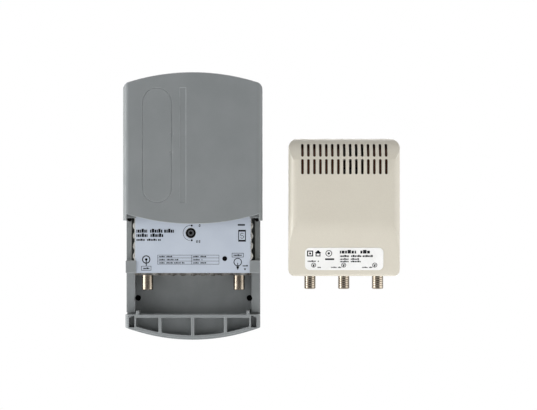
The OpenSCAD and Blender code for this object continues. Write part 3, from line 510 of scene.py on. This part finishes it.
@dataclass(frozen=True)
class Finish:
    """One finish: colours, gloss and texture. Grain and wave have a size and a depth in mm."""

    name: str
    slot: str
    colour: Triple
    patch_colour: Triple
    # Colour painted on marked faces: lighter on rounded edges as edge wear and a painted
    # highlight, darker in thread grooves and on the lid's lower border as painted shade.
    painted_light_colour: Triple | None = None
    metallic: float = 0.0
    rough: Pair = (0.42, 0.55)
    grain: Pair = (0.3, 0.01)
    patch: float = 14.0
    wave: Pair | None = None
    stretch: Triple = (1, 1, 1)
    coat: float = 0.0
    specular: float = 0.5

    def material(self) -> bpy.types.Material:
        """The finish's material, made once."""
        return bpy.data.materials.get(self.name) or self.build()

    def build(self) -> bpy.types.Material:
        """Builds the material: patches in the colour, grain in gloss and relief, and painted
        light on marked faces. Rounded edges take a lighter colour, partly edge wear and partly a
        painted highlight; thread grooves and the lid's lower border take a darker one, painted
        shade. Noise patches vary how much.

        Returns:
            The material.
        """
        graph = Graph(bpy.data.materials.new(self.name))
        where = graph.place(self.stretch)
        grain = graph.noise(where, self.grain[0], 3.0)
        patches = graph.span(graph.noise(where, self.patch, 4.0), *PATCH_SPAN)
        colour = graph.blend(patches, rgba(self.colour), rgba(self.patch_colour))
        colour = graph.blend(1.0, colour, graph.span(grain, *FLECK_SPAN), "MULTIPLY")
        # Painted light: marked faces take the edge colour, a painted highlight on rounded edges
        # and painted shade in grooves and on the lid's lower border, varied in noise patches.
        if self.painted_light_colour is not None:
            edge = graph.add("Attribute", {}, "Fac", attribute_name="edge")
            wear_and_painted_light = graph.span(graph.noise(where, WEAR_AND_PAINTED_LIGHT_SIZE), *WEAR_AND_PAINTED_LIGHT_SPAN)
            colour = graph.blend(graph.pair("MULTIPLY", edge, wear_and_painted_light), colour,
                                 rgba(self.painted_light_colour))
        smudge = graph.noise(where, self.patch * SMUDGE_SHARE, 3.0)
        relief = graph.bump(grain, self.grain[1])
        if self.wave:
            relief = graph.bump(graph.noise(where, self.wave[0], 1.0), self.wave[1], relief)
        graph.feed(graph.shader, {
            "Base Color": colour, "Metallic": self.metallic, "Coat Weight": self.coat,
            "Roughness": graph.span(smudge, *SMUDGE_SPAN, *self.rough),
            "Specular IOR Level": self.specular, "Normal": relief})
        return graph.owner


class Kind(Enum):
    """The finishes of the object's pieces."""

    COVER = Finish("grained grey cover plastic", "cover_plastic", (0.49, 0.505, 0.51),
                   (0.472, 0.488, 0.493), (0.64, 0.655, 0.66), rough=(0.44, 0.54),
                   grain=(0.28, 0.012), patch=26, specular=0.35)
    TRAY = Finish("grey tray plastic", "tray_plastic", (0.522, 0.537, 0.542),
                  (0.487, 0.502, 0.507), (0.56, 0.575, 0.58), rough=(0.42, 0.54), patch=18,
                  specular=0.3)
    CREAM = Finish("cream case plastic", "cream_plastic", (0.805, 0.783, 0.73),
                   (0.81, 0.79, 0.737), (0.86, 0.85, 0.81), rough=(0.34, 0.46),
                   grain=(0.35, 0.008), patch=24, specular=0.35)
    ZINC = Finish("dull cast zinc", "zinc_casting", (0.70, 0.69, 0.66), (0.60, 0.59, 0.565),
                  metallic=0.9, rough=(0.42, 0.62), grain=(0.7, 0.03), patch=5)
    # The tin's edge colour is painted shade: dark on the lid's lower border, which faces down
    # away from the lamps.
    TIN = Finish("bright tin plate", "tin_plate", (0.90, 0.90, 0.885), (0.78, 0.775, 0.755),
                 (0.25, 0.235, 0.215), metallic=1.0, rough=(0.22, 0.4), patch=4,
                 stretch=(1, 1, 0.3))
    LABEL = Finish("silver blue film", "silver_label", (0.72, 0.752, 0.798), (0.70, 0.733, 0.782),
                   rough=(0.32, 0.42), grain=(0.12, 0.003), patch=20, wave=(9, 0.01), coat=0.15)
    PAPER = Finish("white film", "white_label", (0.93, 0.93, 0.925), (0.90, 0.90, 0.895),
                   rough=(0.4, 0.5), grain=(0.15, 0.003), patch=16)
    INK = Finish("black ink", "black_plastic", (0.05, 0.055, 0.07), (0.08, 0.085, 0.10),
                 rough=(0.45, 0.6), grain=(0.12, 0.002), patch=2, specular=0.1)
    # The nickel's edge colour is painted shade, laid into the thread grooves.
    NICKEL = Finish("worn nickel", "nickel", (0.56, 0.525, 0.475), (0.49, 0.455, 0.41),
                    (0.36, 0.33, 0.295), metallic=1.0, rough=(0.1, 0.18), grain=(0.5, 0.002),
                    patch=4)
    WHITE = Finish("white insulator", "white_insulator", (0.92, 0.92, 0.89), (0.88, 0.88, 0.85),
                   rough=(0.3, 0.4), grain=(0.3, 0.005), patch=3)
    CONTACT = Finish("plated contact", "contact_metal", (0.86, 0.72, 0.42), (0.78, 0.62, 0.32),
                     metallic=1.0, rough=(0.22, 0.36), grain=(0.2, 0.004), patch=2)
    CARD = Finish("brown pressboard", "circuit_laminate", (0.33, 0.19, 0.10), (0.28, 0.15, 0.08),
                  rough=(0.5, 0.65), grain=(0.5, 0.02), patch=5, specular=0.3)
    LAMINATE = Finish("brown paper laminate", "circuit_laminate", (0.45, 0.27, 0.16),
                      (0.38, 0.22, 0.13), rough=(0.3, 0.45), grain=(0.4, 0.01), patch=6, coat=0.3)
    BLACK = Finish("black plastic", "black_plastic", (0.03, 0.03, 0.033), (0.045, 0.045, 0.05),
                   (0.06, 0.06, 0.065), rough=(0.38, 0.52), patch=4, specular=0.08)
    # Black rubber, also used as painted shade for the discs in the screw holes and at the cover's
    # corners.
    RUBBER_AND_SHADE = Finish("black rubber and painted shade", "black_plastic", (0.02, 0.02, 0.024), (0.035, 0.035, 0.04),
                    rough=(0.55, 0.7), patch=3, specular=0.05)
    ROTOR = Finish("grey rotor plastic", "grey_rotor", (0.29, 0.295, 0.305), (0.24, 0.245, 0.255),
                   (0.42, 0.43, 0.44), rough=(0.35, 0.5), grain=(0.2, 0.008), patch=2)
    STEEL = Finish("plated steel", "screw_steel", (0.78, 0.78, 0.75), (0.68, 0.68, 0.63),
                   metallic=1.0, rough=(0.25, 0.42), grain=(0.2, 0.006), patch=1.5)
    IRON = Finish("varnished laminations", "core_iron", (0.30, 0.25, 0.21), (0.22, 0.18, 0.15),
                  metallic=0.5, rough=(0.4, 0.6), grain=(0.5, 0.03), patch=3, stretch=(1, 2.2, 1))
    COPPER = Finish("enamelled copper", "copper_wire", (0.62, 0.32, 0.15), (0.5, 0.24, 0.11),
                    metallic=0.8, rough=(0.25, 0.4), grain=(0.3, 0.05), patch=2,
                    stretch=(0.2, 0.2, 2))
    TAPE = Finish("winding tape", "copper_wire", (0.13, 0.10, 0.08), (0.09, 0.07, 0.055),
                  rough=(0.4, 0.55), grain=(0.4, 0.02), patch=3)
    CERAMIC = Finish("dipped ceramic", "ceramic", (0.74, 0.50, 0.29), (0.66, 0.43, 0.24),
                     rough=(0.4, 0.6), grain=(0.3, 0.02), patch=1.5)
    SLEEVE = Finish("capacitor sleeve", "can_sleeve", (0.10, 0.12, 0.24), (0.08, 0.10, 0.2),
                    rough=(0.2, 0.3), grain=(0.4, 0.006), patch=4, coat=0.3)
    FERRITE = Finish("sintered ferrite", "ferrite", (0.16, 0.16, 0.165), (0.12, 0.12, 0.125),
                     rough=(0.5, 0.7), grain=(0.25, 0.02), patch=2)
    SINK = Finish("extruded aluminium", "sink_metal", (0.72, 0.73, 0.74), (0.64, 0.65, 0.66),
                  metallic=1.0, rough=(0.3, 0.45), patch=4, stretch=(1, 0.1, 1))


KIND_NODES = {
    Kind.STEEL: ("saddle_screws", "board_screws", "supply_board_screws", "case_screws"),
    Kind.LAMINATE: ("amplifier_board", "supply_board"),
    Kind.BLACK: ("amplifier_chip", "transformer_bobbin", "rectifier_diodes",
                 "voltage_regulator"),
    Kind.COPPER: ("filter_coils",),
    Kind.CERAMIC: ("ceramic_capacitors",),
    Kind.FERRITE: ("power_feed_choke", "splitter_ferrite"),
    Kind.SLEEVE: ("smoothing_capacitor", "reservoir_capacitor"),
    Kind.WHITE: ("input_connector_insulator", "output_connector_insulator",
                 "supply_connector_insulators"),
    Kind.CONTACT: ("input_connector_contact", "output_connector_contact",
                   "supply_connector_contacts", "plug_contact_strips"),
    Kind.IRON: ("transformer_core",),
    Kind.TAPE: ("transformer_winding",),
    Kind.SINK: ("regulator_heat_sink",),
    Kind.TIN: ("splitter_can", "splitter_can_lid"),
}


def dress_nodes() -> None:
    """Gives each node that stays as it is its finish."""
    for kind, names in KIND_NODES.items():
        for name in names:
            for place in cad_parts[name].material_slots:
                place.material = kind.value.material()
            LOG.info("%s: dressed as %s", name, kind.value.name)


@dataclass
class MastBox:
    """The amplifier's base, saddle and module case, taken over from their solids."""

    edge: float = 0.5
    cover_edge: float = 1.2
    cover_segments: int = 3
    fine_edge: float = 0.2
    rotor_edge: float = 0.1
    film_edge: float = 0.04
    shaded_below: float = 21.4

    def build(self) -> None:
        """Rounds and dresses each moulding and casting."""
        for node, name, kind, body, *sizes in (
                ("base_tray", "tray_moulding", Kind.TRAY, "base", self.edge),
                ("cable_end_block", "end_block_moulding", Kind.TRAY, "base", self.edge),
                ("mast_saddle", "saddle_moulding", Kind.TRAY, "base", self.edge),
                ("sliding_cover", "cover_moulding", Kind.COVER, "cover", self.cover_edge,
                 self.cover_segments),
                ("module_case", "case_casting", Kind.ZINC, "base", self.fine_edge),
                ("module_lid", "lid_pressing", Kind.TIN, "base", self.fine_edge),
                ("module_label", "label_film", Kind.LABEL, "base", self.film_edge),
                ("gain_trimmer_body", "trimmer_housing", Kind.BLACK, "base", self.fine_edge),
                ("gain_trimmer_rotor", "trimmer_rotor", Kind.ROTOR, "trimmer",
                 self.rotor_edge)):
            cad_copy(node, name, kind, body, *sizes)
        self.paint_lower_shade(bpy.data.objects["lid_pressing"].data)

    def paint_lower_shade(self, mesh: Mesh) -> None:
        """Marks the lid's lower border, which faces down, for painted shade instead of its edges.
        """
        height = values(mesh.vertices, "co", 3)[:, 2] / MM
        mark_painted_light(mesh, "POINT", height < self.shaded_below)


@dataclass
class SupplyForm:
    """The supply's front as its solid has it: a flat face over one that leans back."""

    centre_x: float = 123.6
    lower: float = 18.6
    bend: float = 41.0
    lean: float = 10.0
    depth: float = 44.0


@dataclass
class SupplyBox(SupplyForm):
    """The supply's shells, label, pins and pin sleeves, and the card behind its vents."""

    edge: float = 0.5
    film_edge: float = 0.05
    pin_edge: float = 0.1
    bend_half: float = 6.0
    bend_cuts: int = 9
    bend_slack: float = 0.02
    foot_round: float = 2.2
    foot_segments: int = 5
    foot_slack: float = 0.3
    foot_front: float = 33.0
    foot_turn: float = 30.0
    vents: Space = (85.0, -45.0, 100.0, 162.0, -20.0, 129.0)
    vent_pitch: float = 4.88
    vent_wider: float = 0.2
    card_x: float = 37.5
    card_low: float = 96.0
    card_depth: float = 40.3
    card_thick: float = 0.6
    card_grid: tuple[int, int, int] = (8, 15, 91)
    card_top_rows: int = 3
    roll_z: float = 107.4
    roll_r: float = 19.9
    roll_end: float = 84.0
    window: Triple = (-2.6, 17.2, 98.5)

    def build(self) -> None:
        """Rounds and dresses each piece."""
        cad_copy("supply_front_shell", "front_moulding", Kind.CREAM, "base", self.edge,
                 soften=self.soften, crisp=self.vents)
        for node, name, kind, edge in (
                ("supply_rear_shell", "rear_moulding", Kind.CREAM, self.edge),
                ("supply_label", "supply_label_film", Kind.PAPER, self.film_edge),
                ("plug_pins", "plug_pin_pair", Kind.STEEL, self.pin_edge),
                ("pin_sleeves", "pin_sleeve_pair", Kind.BLACK, self.pin_edge)):
            cad_copy(node, name, kind, "base", edge)
        self.vent_card()

    def soften(self, work: Work) -> None:
        """Rounds the front edge of the lower side and the bend, and widens the vents."""
        self.round_foot(work)
        self.press_bend(work)
        self.widen_vents(work)

    def round_foot(self, work: Work) -> None:
        """Rounds the front edge of the lower side."""
        edges = [e for e in work.edges if len(e.link_faces) == 2
                 and all(abs(p.co.z / MM - self.lower) < self.foot_slack
                         and p.co.y < -self.foot_front * MM for p in e.verts)
                 and math.radians(self.foot_turn) < e.calc_face_angle() < FOLDED]
        bmesh.ops.bevel(work, geom=edges, offset=self.foot_round * MM, offset_type="OFFSET",
                        segments=self.foot_segments, profile=0.5, affect="EDGES",
                        clamp_overlap=False)

    def press_bend(self, work: Work) -> None:
        """Cuts the face into strips over the bend, and presses their points to a curve.

        The curve is the parabola that meets both planes: depth less slope times
        (half - rise) squared over four times half, where rise is the height above the bend.
        """
        middle, half, slope = self.lower + self.bend, self.bend_half, self.lean / self.bend
        for height in np.linspace(middle - half, middle + half, self.bend_cuts):
            bmesh.ops.bisect_plane(work, geom=[*work.verts, *work.edges, *work.faces], dist=2e-5,
                                   plane_co=(0, 0, height * MM), plane_no=(0, 0, 1))
        for point in work.verts:
            rise = point.co.z / MM - middle
            flat = -self.depth + max(-rise, 0.0) * slope
            if abs(rise) <= half and abs(point.co.y / MM - flat) < self.bend_slack:
                point.co.y = (-self.depth + slope * (half - rise) ** 2 / (4 * half)) * MM

    def widen_vents(self, work: Work) -> None:
        """Moves the vents' walls apart a little from the middle of each slot."""
        for point in work.verts:
            if within(point, self.vents):
                across = point.co.x / MM - self.centre_x
                off = across - round(across / self.vent_pitch) * self.vent_pitch
                if abs(off) < self.vent_pitch / 4:
                    point.co.x += off * self.vent_wider * MM

    def vent_card(self) -> None:
        """A folded card that keeps fingers off the transformer, with an opening over it.

        It is a strip carried along a path: straight up, then round an arc about the same
        line as the case's own curve.
        """
        straight, bent, cols = self.card_grid
        turn = np.radians(np.linspace(0, self.roll_end, bent))[1:]
        depth = np.concatenate([np.full(straight, self.card_depth),
                                self.card_depth - self.roll_r * (1 - np.cos(turn))])
        z = np.concatenate([np.linspace(self.card_low, self.roll_z, straight),
                            self.roll_z + self.roll_r * np.sin(turn)])
        x = np.linspace(-self.card_x, self.card_x, cols)
        points = grid_points(self.centre_x + x, -depth[:, None], z[:, None])
        middle, height = (x[1:] + x[:-1]) / 2, (z[1:] + z[:-1]) / 2
        low, high, sill = self.window
        keep = ~((height[:, None] > sill) & (height[:, None] < z[-self.card_top_rows])
                 & (middle[None, :] > low) & (middle[None, :] < high))
        faces = grid_faces(len(z), len(x), keep=keep)
        card = settle(new_piece("vent_card", points, faces), Kind.CARD, "base")
        wall = card.modifiers.new("card's thickness", "SOLIDIFY")
        wall.thickness = self.card_thick * MM
        wall.offset = -1.0


@dataclass
class Socket:
    """A threaded socket shell, turned from one bar."""

    node: str
    thread_r: float = 4.72
    bore_r: float = 2.9
    neck_r: float = 3.7
    shoulder_r: float = 4.32
    pitch: float = 0.794
    depth: float = 0.15
    crest: float = 0.74
    shoulder: float = 1.0
    neck: float = 2.4
    chamfer: float = 0.6
    thread_lead: Pair = (0.2, 0.33)
    bore_lead: Pair = (0.3, 0.35)
    fade: float = 0.2
    around: int = 96
    steps: int = 12
    sharp: float = 50.0

    def build(self) -> None:
        """Makes the shell: a closed loop of profile points, turned about the axis.

        On the thread the radius falls from the crest by the depth times a wave of height over
        pitch minus the angle as a share of a turn, so that it winds. The wave is 0 on the flat
        crests and rises to 1 at the bottom of each groove.
        """
        low, high = (np.array(corner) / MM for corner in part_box(self.node))
        x, y = (low[0] + high[0]) / 2, (low[1] + high[1]) / 2
        seat = high[2] - self.neck
        start, end = low[2] + self.chamfer, seat - self.shoulder
        count = int((end - start) / self.pitch * self.steps)
        thread_z = np.linspace(start, end, count)
        angle = np.linspace(0, 2 * np.pi, self.around, endpoint=False)
        phase = thread_z[:, None] / self.pitch - angle[None, :] / (2 * np.pi)
        wave = np.clip((np.abs(2 * (phase % 1) - 1) - self.crest) / (1 - self.crest), 0, 1)
        ends = np.clip((thread_z - start) / self.pitch, 0, 1)[:, None]
        ends = ends * np.clip((end - thread_z) / self.pitch, self.fade, 1)[:, None]
        thread_rho = self.thread_r - self.depth * wave * ends
        start_r, start_z = self.thread_lead
        wider, rise = self.bore_lead
        lower = np.array([(self.thread_r - self.chamfer, low[2]),
                          (self.thread_r - start_r, low[2] + start_z)])
        upper = np.array([(self.shoulder_r, end), (self.shoulder_r, seat), (self.neck_r, seat),
                          (self.neck_r, high[2]), (self.bore_r, high[2]),
                          (self.bore_r, low[2] + rise), (self.bore_r + wider, low[2])])
        ring = np.ones(self.around)
        rho = np.vstack([lower[:, :1] * ring, thread_rho, upper[:, :1] * ring])
        z = np.concatenate([lower[:, 1], thread_z, upper[:, 1]])
        points = grid_points(x + rho * np.cos(angle), y + rho * np.sin(angle), z[:, None])
        faces = grid_faces(len(z), self.around, True, True)
        barrel = settle(new_piece(self.node.replace("shell", "barrel"), points, faces),
                        Kind.NICKEL, "base", (self.node,), self.sharp)
        self.paint_groove_shade(barrel.data, x, y, low[2] + self.chamfer, end)

    def paint_groove_shade(self, mesh: Mesh, x: float, y: float, low: float, high: float) -> None:
        """Marks how deep each point lies in the thread's grooves, for the painted shade laid into
        them.

        Args:
            mesh: the barrel's mesh.
            x: the axis's place across.
            y: the axis's place in depth.
            low: height where the thread starts.
            high: height where it ends.
        """
        place = values(mesh.vertices, "co", 3) / MM
        rho = np.hypot(place[:, 0] - x, place[:, 1] - y)
        deep = np.clip((self.thread_r - rho) / self.depth, 0, 1)
        deep[(place[:, 2] < low) | (place[:, 2] > high) | (rho < self.neck_r)] = 0
        mark_painted_light(mesh, "POINT", deep)


@dataclass
class SupplySocket(Socket):
    """A socket of the supply: a longer shoulder, and the wider ridges of the photograph."""

    pitch: float = 1.588
    shoulder: float = 3.6


TRIMMER_SCALE = {
    Marks.ring: ((0, 0, 6.4, 0.336, 92, 262), (0.8, -6.0, 0.8, 0.78), (0.8, 6.0, 0.8, 0.78)),
    Marks.number: ((6.6, 5.0, "0", 2.0), (4.4, -8.0, "20", 2.0)),
}
INPUT_SIGN = {
    Marks.ring: ((0, 0, 3.4, 0.84), (0, 0, 1.05, 1.03)),
    Marks.bar: ((-0.4, -5.2, 0.8, 5.0),),
    Marks.frame: ((-4.1, -9.0, 8.2, 3.7, 0.364),),
    Marks.words: ((-2.6, -7.9, 5.4, 1.4, 1.0),),
}
OUTPUT_SIGN = {
    Marks.ring: ((0, 0, 3.4, 0.672),),
    Marks.bar: ((-0.3, -3.6, 0.6, 3.0),),
    Marks.wedge: ((0, -6.4, 2.8, 2.8), (5.9, -6.9, 1.9, 1.7)),
    Marks.frame: ((-4.8, 3.9, 9.6, 3.5, 0.364),),
    Marks.words: ((-3.4, 5.0, 6.8, 1.3, 1.0), (4.0, -3.6, 4.4, 1.2, 0.9)),
}
MODULE_MARKS = {
    Marks.words: ((-46.2, 54.2, 31.0, 3.2, 1.6), (-46.2, 50.7, 22.2, 2.9, 1.6),
                  (-46.2, 47.6, 20.2, 1.7, 1.2)),
    Marks.frame: ((37.0, 46.9, 6.2, 9.6, 0.672),),
    Marks.bar: ((36.6, 59.9, 5.9, 1.3), (37.0, 55.1, 6.2, 1.4), (37.0, 46.9, 6.2, 1.4)),
    Marks.ring: ((40.1, 52.7, 1.4, 0.448, 20, 270), (40.1, 50.8, 1.4, 0.448, -160, 90)),
}
SUPPLY_MARKS = {
    Marks.frame: ((-30.4, 2.1, 5.0, 5.0, 0.9), (-23.4, 2.1, 4.0, 3.2, 0.8)),
    Marks.bar: ((-28.7, 3.8, 1.6, 1.6), (-15.6, -0.9, 7.4, 1.4)),
    Marks.wedge: ((-21.4, 7.4, 5.4, -2.4),),
    Marks.ring: ((-12.6, 4.7, 2.7, 0.6), (-12.6, 4.7, 1.0, 0.98)),
    Marks.words: ((-3.6, 4.6, 25.0, 3.0, 2.3), (-3.4, 1.6, 28.2, 1.8, 1.3),
                  (-3.4, -0.8, 15.8, 1.4, 1.3), (-3.4, -2.8, 17.2, 1.4, 1.3),
                  (-29.9, -2.5, 9.4, 1.3, 1.1), (-21.8, -7.6, 3.0, 1.1, 0.8),
                  (-10.8, -7.6, 8.6, 1.1, 0.8), (14.6, -7.6, 8.6, 1.1, 0.8)),
}
SUPPLY_PORT = {Marks.ring: ((0, -5.2, 2.0, 0.52),), Marks.wedge: ((0, -7.0, 2.0, 2.4),)}


@dataclass
class ModulePrint:
    """Marks on the module's label: sizes in the row frame's x and z."""

    front: float = 37.1
    line: float = 0.28
    input_at: Pair = (-38.2, 32.3)
    output_at: Pair = (36.6, 30.2)
    table: tuple[float, float, float, float] = (-29.0, 28.3, 50.4, 7.7)
    columns: float = 0.55
    rows: tuple[Pair, ...] = ((21.0, 11.0), (16.0, 8.0), (11.0, 11.0))
    inset: Pair = (1.2, 0.75)
    row_text: Pair = (1.1, 0.9)

    def build(self) -> None:
        """Draws the scale, the table, the port signs and the lines of blocks."""
        marks = Marks((0.0, -self.front, 0.0), (0.0, 0.0, 1.0))
        marks.draw(TRIMMER_SCALE, *TRIMMER)
        self.grid(marks)
        marks.draw(INPUT_SIGN, *self.input_at)
        marks.draw(OUTPUT_SIGN, *self.output_at)
        marks.draw(MODULE_MARKS)
        marks.print("label_print")

    def grid(self, marks: Marks) -> None:
        """Table of rows and two columns, with blocks in its cells."""
        left, low, wide, high = self.table
        middle = left + wide * self.columns
        marks.frame(left, low, wide, high, self.line)
        marks.bar(middle, low, self.line, high)
        for row, widths in enumerate(self.rows):
            base = low + row * high / len(self.rows)
            if row:
                marks.bar(left, base, wide, self.line)
            for start, width in zip((left, middle), widths):
                marks.words(start + self.inset[0], base + self.inset[1], width, *self.row_text)


@dataclass
class SupplyPrint(SupplyForm):
    """Marks on the supply's label, measured from the label's middle along its face."""

    rise: float = 5.2
    height: float = 18.9
    thick: float = 0.3
    ports: Triple = (-25.0, -0.4, 25.0)

    def build(self) -> None:
        """Draws three plain pictograms, a bar, port signs and lines of blocks."""
        slope = math.atan2(self.lean, self.bend)
        up = (0.0, -math.sin(slope), math.cos(slope))
        out = (0.0, -math.cos(slope), -math.sin(slope))
        middle = self.rise + self.height / 2
        origin = tuple(np.array([self.centre_x, -self.depth + self.lean, self.lower])
                       + np.array(up) * middle + np.array(out) * self.thick)
        marks = Marks(origin, up)
        marks.draw(SUPPLY_MARKS)
        for x in self.ports:
            marks.draw(SUPPLY_PORT, x)
        marks.print("supply_label_print")


@dataclass
class SmallParts:
    """Black discs of painted shade in the amplifier's screw holes and at its rails under the
    cover's corners.
    """

    screw_x: float = 46.1
    # Sizes of the black discs that stand in for the shade in the screw holes and in the gaps
    # under the cover's corners.
    hole_shade: Triple = (2.38, 8.2, 2.0)
    shade_spot_at: Pair = (52.4, 65.0)
    shade_spot: Triple = (1.75, 26.6, 1.6)
    test_at: Pair = (26.0, 33.0)
    test: Triple = (1.75, 37.14, 3.0)
    test_flange: Pair = (2.06, 0.2)
    core: Triple = (1.38, 36.2, 0.25)
    dish_shares: tuple[float, ...] = (0.0, 0.55, 0.85, 0.97, 1.0)
    dish_sinks: tuple[float, ...] = (0.12, 0.1, 0.0, 0.02, 0.08)
    around: int = 40

    def build(self) -> None:
        """Makes the painted shade discs in the holes and at the cover's corners, the test socket
        and the trimmer's dark core.
        """
        for side, tag in ((-1, "left"), (1, "right")):
            # Painted shade: black discs where the screw holes and the gaps under the cover's
            # lower corners lie in shadow.
            self.disc(f"{tag}_hole_shade_disc", side * self.screw_x, 0.0, self.hole_shade)
            self.disc(f"{tag}_cover_corner_shade", side * self.shade_spot_at[0], self.shade_spot_at[1],
                      self.shade_spot)
        self.disc("test_socket", *self.test_at, self.test, flange=self.test_flange)
        self.disc("trimmer_core", *TRIMMER, self.core, "trimmer")

    def disc(self, name: str, x: float, z: float, size: Triple, body: str = "base",
             flange: Pair | None = None) -> None:
        """A turned black disc with a dished face, with or without a flange; in the holes and at
        the cover's corners it is painted shade.

        The profile runs from the middle of the dished face over its rounded rim to the middle
        of the back, and is turned about the axis along y.

        Args:
            name: the piece's name.
            x: the axis's place across.
            z: the axis's height.
            size: radius, depth of the face before the wall, and length.
            body: the body that carries it.
            flange: the flange's radius and thickness, or None.
        """
        r, front, deep = size
        rho = np.array(self.dish_shares) * (flange[0] if flange else r)
        sink = np.array(self.dish_sinks)
        if flange:
            rho, sink = np.append(rho, [flange[0], r]), np.append(sink, [flange[1]] * 2)
        rho, depth = np.append(rho, [r, 0.0])[:, None], front - np.append(sink, [deep, deep])
        angle = np.linspace(0, 2 * np.pi, self.around, endpoint=False)
        points = grid_points(x + rho * np.cos(angle), -depth[:, None], z + rho * np.sin(angle))
        faces = grid_faces(len(rho), self.around, False, True)
        settle(new_piece(name, points, faces), Kind.RUBBER_AND_SHADE, body)


@dataclass
class Studio:
    """Camera, lamps, floor and world."""

    LAMPS = (
        ("left lamp", (-1020, -230, 60), 700, 13.0), ("right lamp", (1140, -230, 60), 700, 4.0),
        ("left front lamp", (-860, -680, 60), 400, 1.0),
        ("right front lamp", (980, -680, 60), 400, 1.0),
        ("top lamp", (60, -250, 1100), 500, 2.2), ("back lamp", (100, 1100, 400), 700, 4.0),
    )

    scale: float = 0.82
    width_px: float = 537
    middle_px: Pair = (268.5, 205.0)
    origin_px: Pair = (193.2, 298.7)
    away: float = 2200.0
    plane: float = 30.0
    aim_at: Triple = (60.0, 0.0, 60.0)
    ambient: float = 0.28
    floor_z: float = -115.0
    floor_r: float = 6000.0
    floor_grid: tuple[int, int] = (25, 96)
    floor_grey: float = 0.93
    floor_rough: float = 0.8
    glow: float = 0.75
    floor_lift: float = 0.35
    shade_at: Pair = (62.0, -20.0)
    shade_fades: Pair = (130.0, 240.0)
    card_half: float = 1400.0
    card_behind: float = 400.0
    card_at: Pair = (62.0, 76.0)
    card_colour: Triple = (0.2, 0.18, 0.16)

    def build(self) -> None:
        """Sets the camera at the photograph's angle and lights the object evenly."""
        scene = bpy.context.scene
        scene.view_settings.view_transform = "Standard"
        self.camera(scene)
        self.world(scene)
        self.floor()
        self.card()
        for lamp in self.LAMPS:
            self.lamp(*lamp)

    def camera(self, scene: bpy.types.Scene) -> None:
        """Looks along +y at the middle of the photograph."""
        data = bpy.data.cameras.new("camera")
        data.lens = data.sensor_width * self.away / (self.width_px * self.scale)
        scene.camera = linked("camera", data)
        scene.camera.location = Vector((
            (self.middle_px[0] - self.origin_px[0]) * self.scale, -self.away - self.plane,
            (self.origin_px[1] - self.middle_px[1]) * self.scale)) * MM
        scene.camera.rotation_euler = (math.pi / 2, 0, 0)

    def lamp(self, name: str, place: Triple, size: float, power: float) -> None:
        """Adds a square soft lamp that faces the object."""
        data = bpy.data.lights.new(name, "AREA")
        data.size = size * MM
        data.energy = power
        lamp = linked(name, data)
        lamp.location = Vector(place) * MM
        aim = Vector(place) - Vector(self.aim_at)
        lamp.rotation_euler = aim.to_track_quat("Z", "Y").to_euler()

    def world(self, scene: bpy.types.Scene) -> None:
        """White to the camera and in reflections, a dimmer white as light."""
        scene.world = bpy.data.worlds.new("studio")
        graph = Graph(scene.world)
        camera, through, glossy = (graph.add("LightPath", {}, f"Is {ray} Ray")
                                   for ray in ("Camera", "Transmission", "Glossy"))
        seen = graph.pair("MAXIMUM", graph.pair("MAXIMUM", camera, through), glossy)
        graph.feed(graph.shader, {"Strength": graph.span(seen, 0, 1, self.ambient, 1.0),
                                  "Color": (1, 1, 1, 1)})

    def card(self) -> None:
        """A dark card behind the camera, which the metal reflects as a room would be."""
        side = np.array([-1, 1]) * self.card_half
        points = grid_points(self.card_at[0] + side, -(self.away + self.plane + self.card_behind),
                             self.card_at[1] + side[:, None])
        card = plain_object("dark_card", points, grid_faces(2, 2))
        graph = Graph(bpy.data.materials.new("dark card"))
        graph.feed(graph.shader, {"Base Color": rgba(self.card_colour), "Roughness": 1.0})
        card.data.materials.append(graph.owner)
        card.visible_camera = False

    def floor(self) -> None:
        """A pale lit floor that turns white to the camera beside the object, clear from below."""
        rings, around = self.floor_grid
        angle = np.linspace(0, -2 * np.pi, around, endpoint=False)
        radius = np.linspace(0, self.floor_r, rings)[:, None]
        points = grid_points(radius * np.cos(angle), radius * np.sin(angle), self.floor_z)
        floor = plain_object("floor", points, grid_faces(rings, around, wrap_cols=True))
        graph = Graph(bpy.data.materials.new("pale floor"))
        middle = tuple(v * MM for v in (*self.shade_at, self.floor_z))
        offset = graph.add("VectorMath", {0: graph.add("TexCoord", {}, "Object"), 1: middle},
                           operation="SUBTRACT")
        away = graph.add("VectorMath", {0: offset}, "Value", operation="LENGTH")
        fade = graph.span(away, *(v * MM for v in self.shade_fades), 0.0, 1.0)
        path = graph.add("LightPath", {}, "Is Camera Ray")
        graph.feed(graph.shader, {
            "Base Color": rgba((self.floor_grey,) * 3), "Roughness": self.floor_rough,
            "Emission Color": (1, 1, 1, 1),
            "Emission Strength": graph.span(path, 0, 1, self.glow, self.floor_lift)})
        white = graph.add("Emission", {"Color": (1, 1, 1, 1)})
        above = graph.add("MixShader", {0: graph.pair("MULTIPLY", fade, path),
                                        1: graph.shader.outputs[0], 2: white})
        whole = graph.add("MixShader", {0: graph.add("NewGeometry", {}, "Backfacing"), 1: above,
                                        2: graph.add("BsdfTransparent", {})})
        graph.feed(graph.tree.nodes["Material Output"], {"Surface": whole})
        floor.data.materials.append(graph.owner)


def main() -> None:
    """Builds the object and its studio."""
    logging.basicConfig(level=logging.INFO, format="%(name)s: %(message)s")
    Studio().build()
    dress_nodes()
    MastBox().build()
    for name in ("input", "output"):
        Socket(f"{name}_connector_shell").build()
    for name in ("left", "middle", "right"):
        SupplySocket(f"{name}_connector_shell").build()
    SupplyBox().build()
    ModulePrint().build()
    SupplyPrint().build()
    SmallParts().build()
    bpy.context.view_layer.update()


if __name__ == "__main__":
    main()
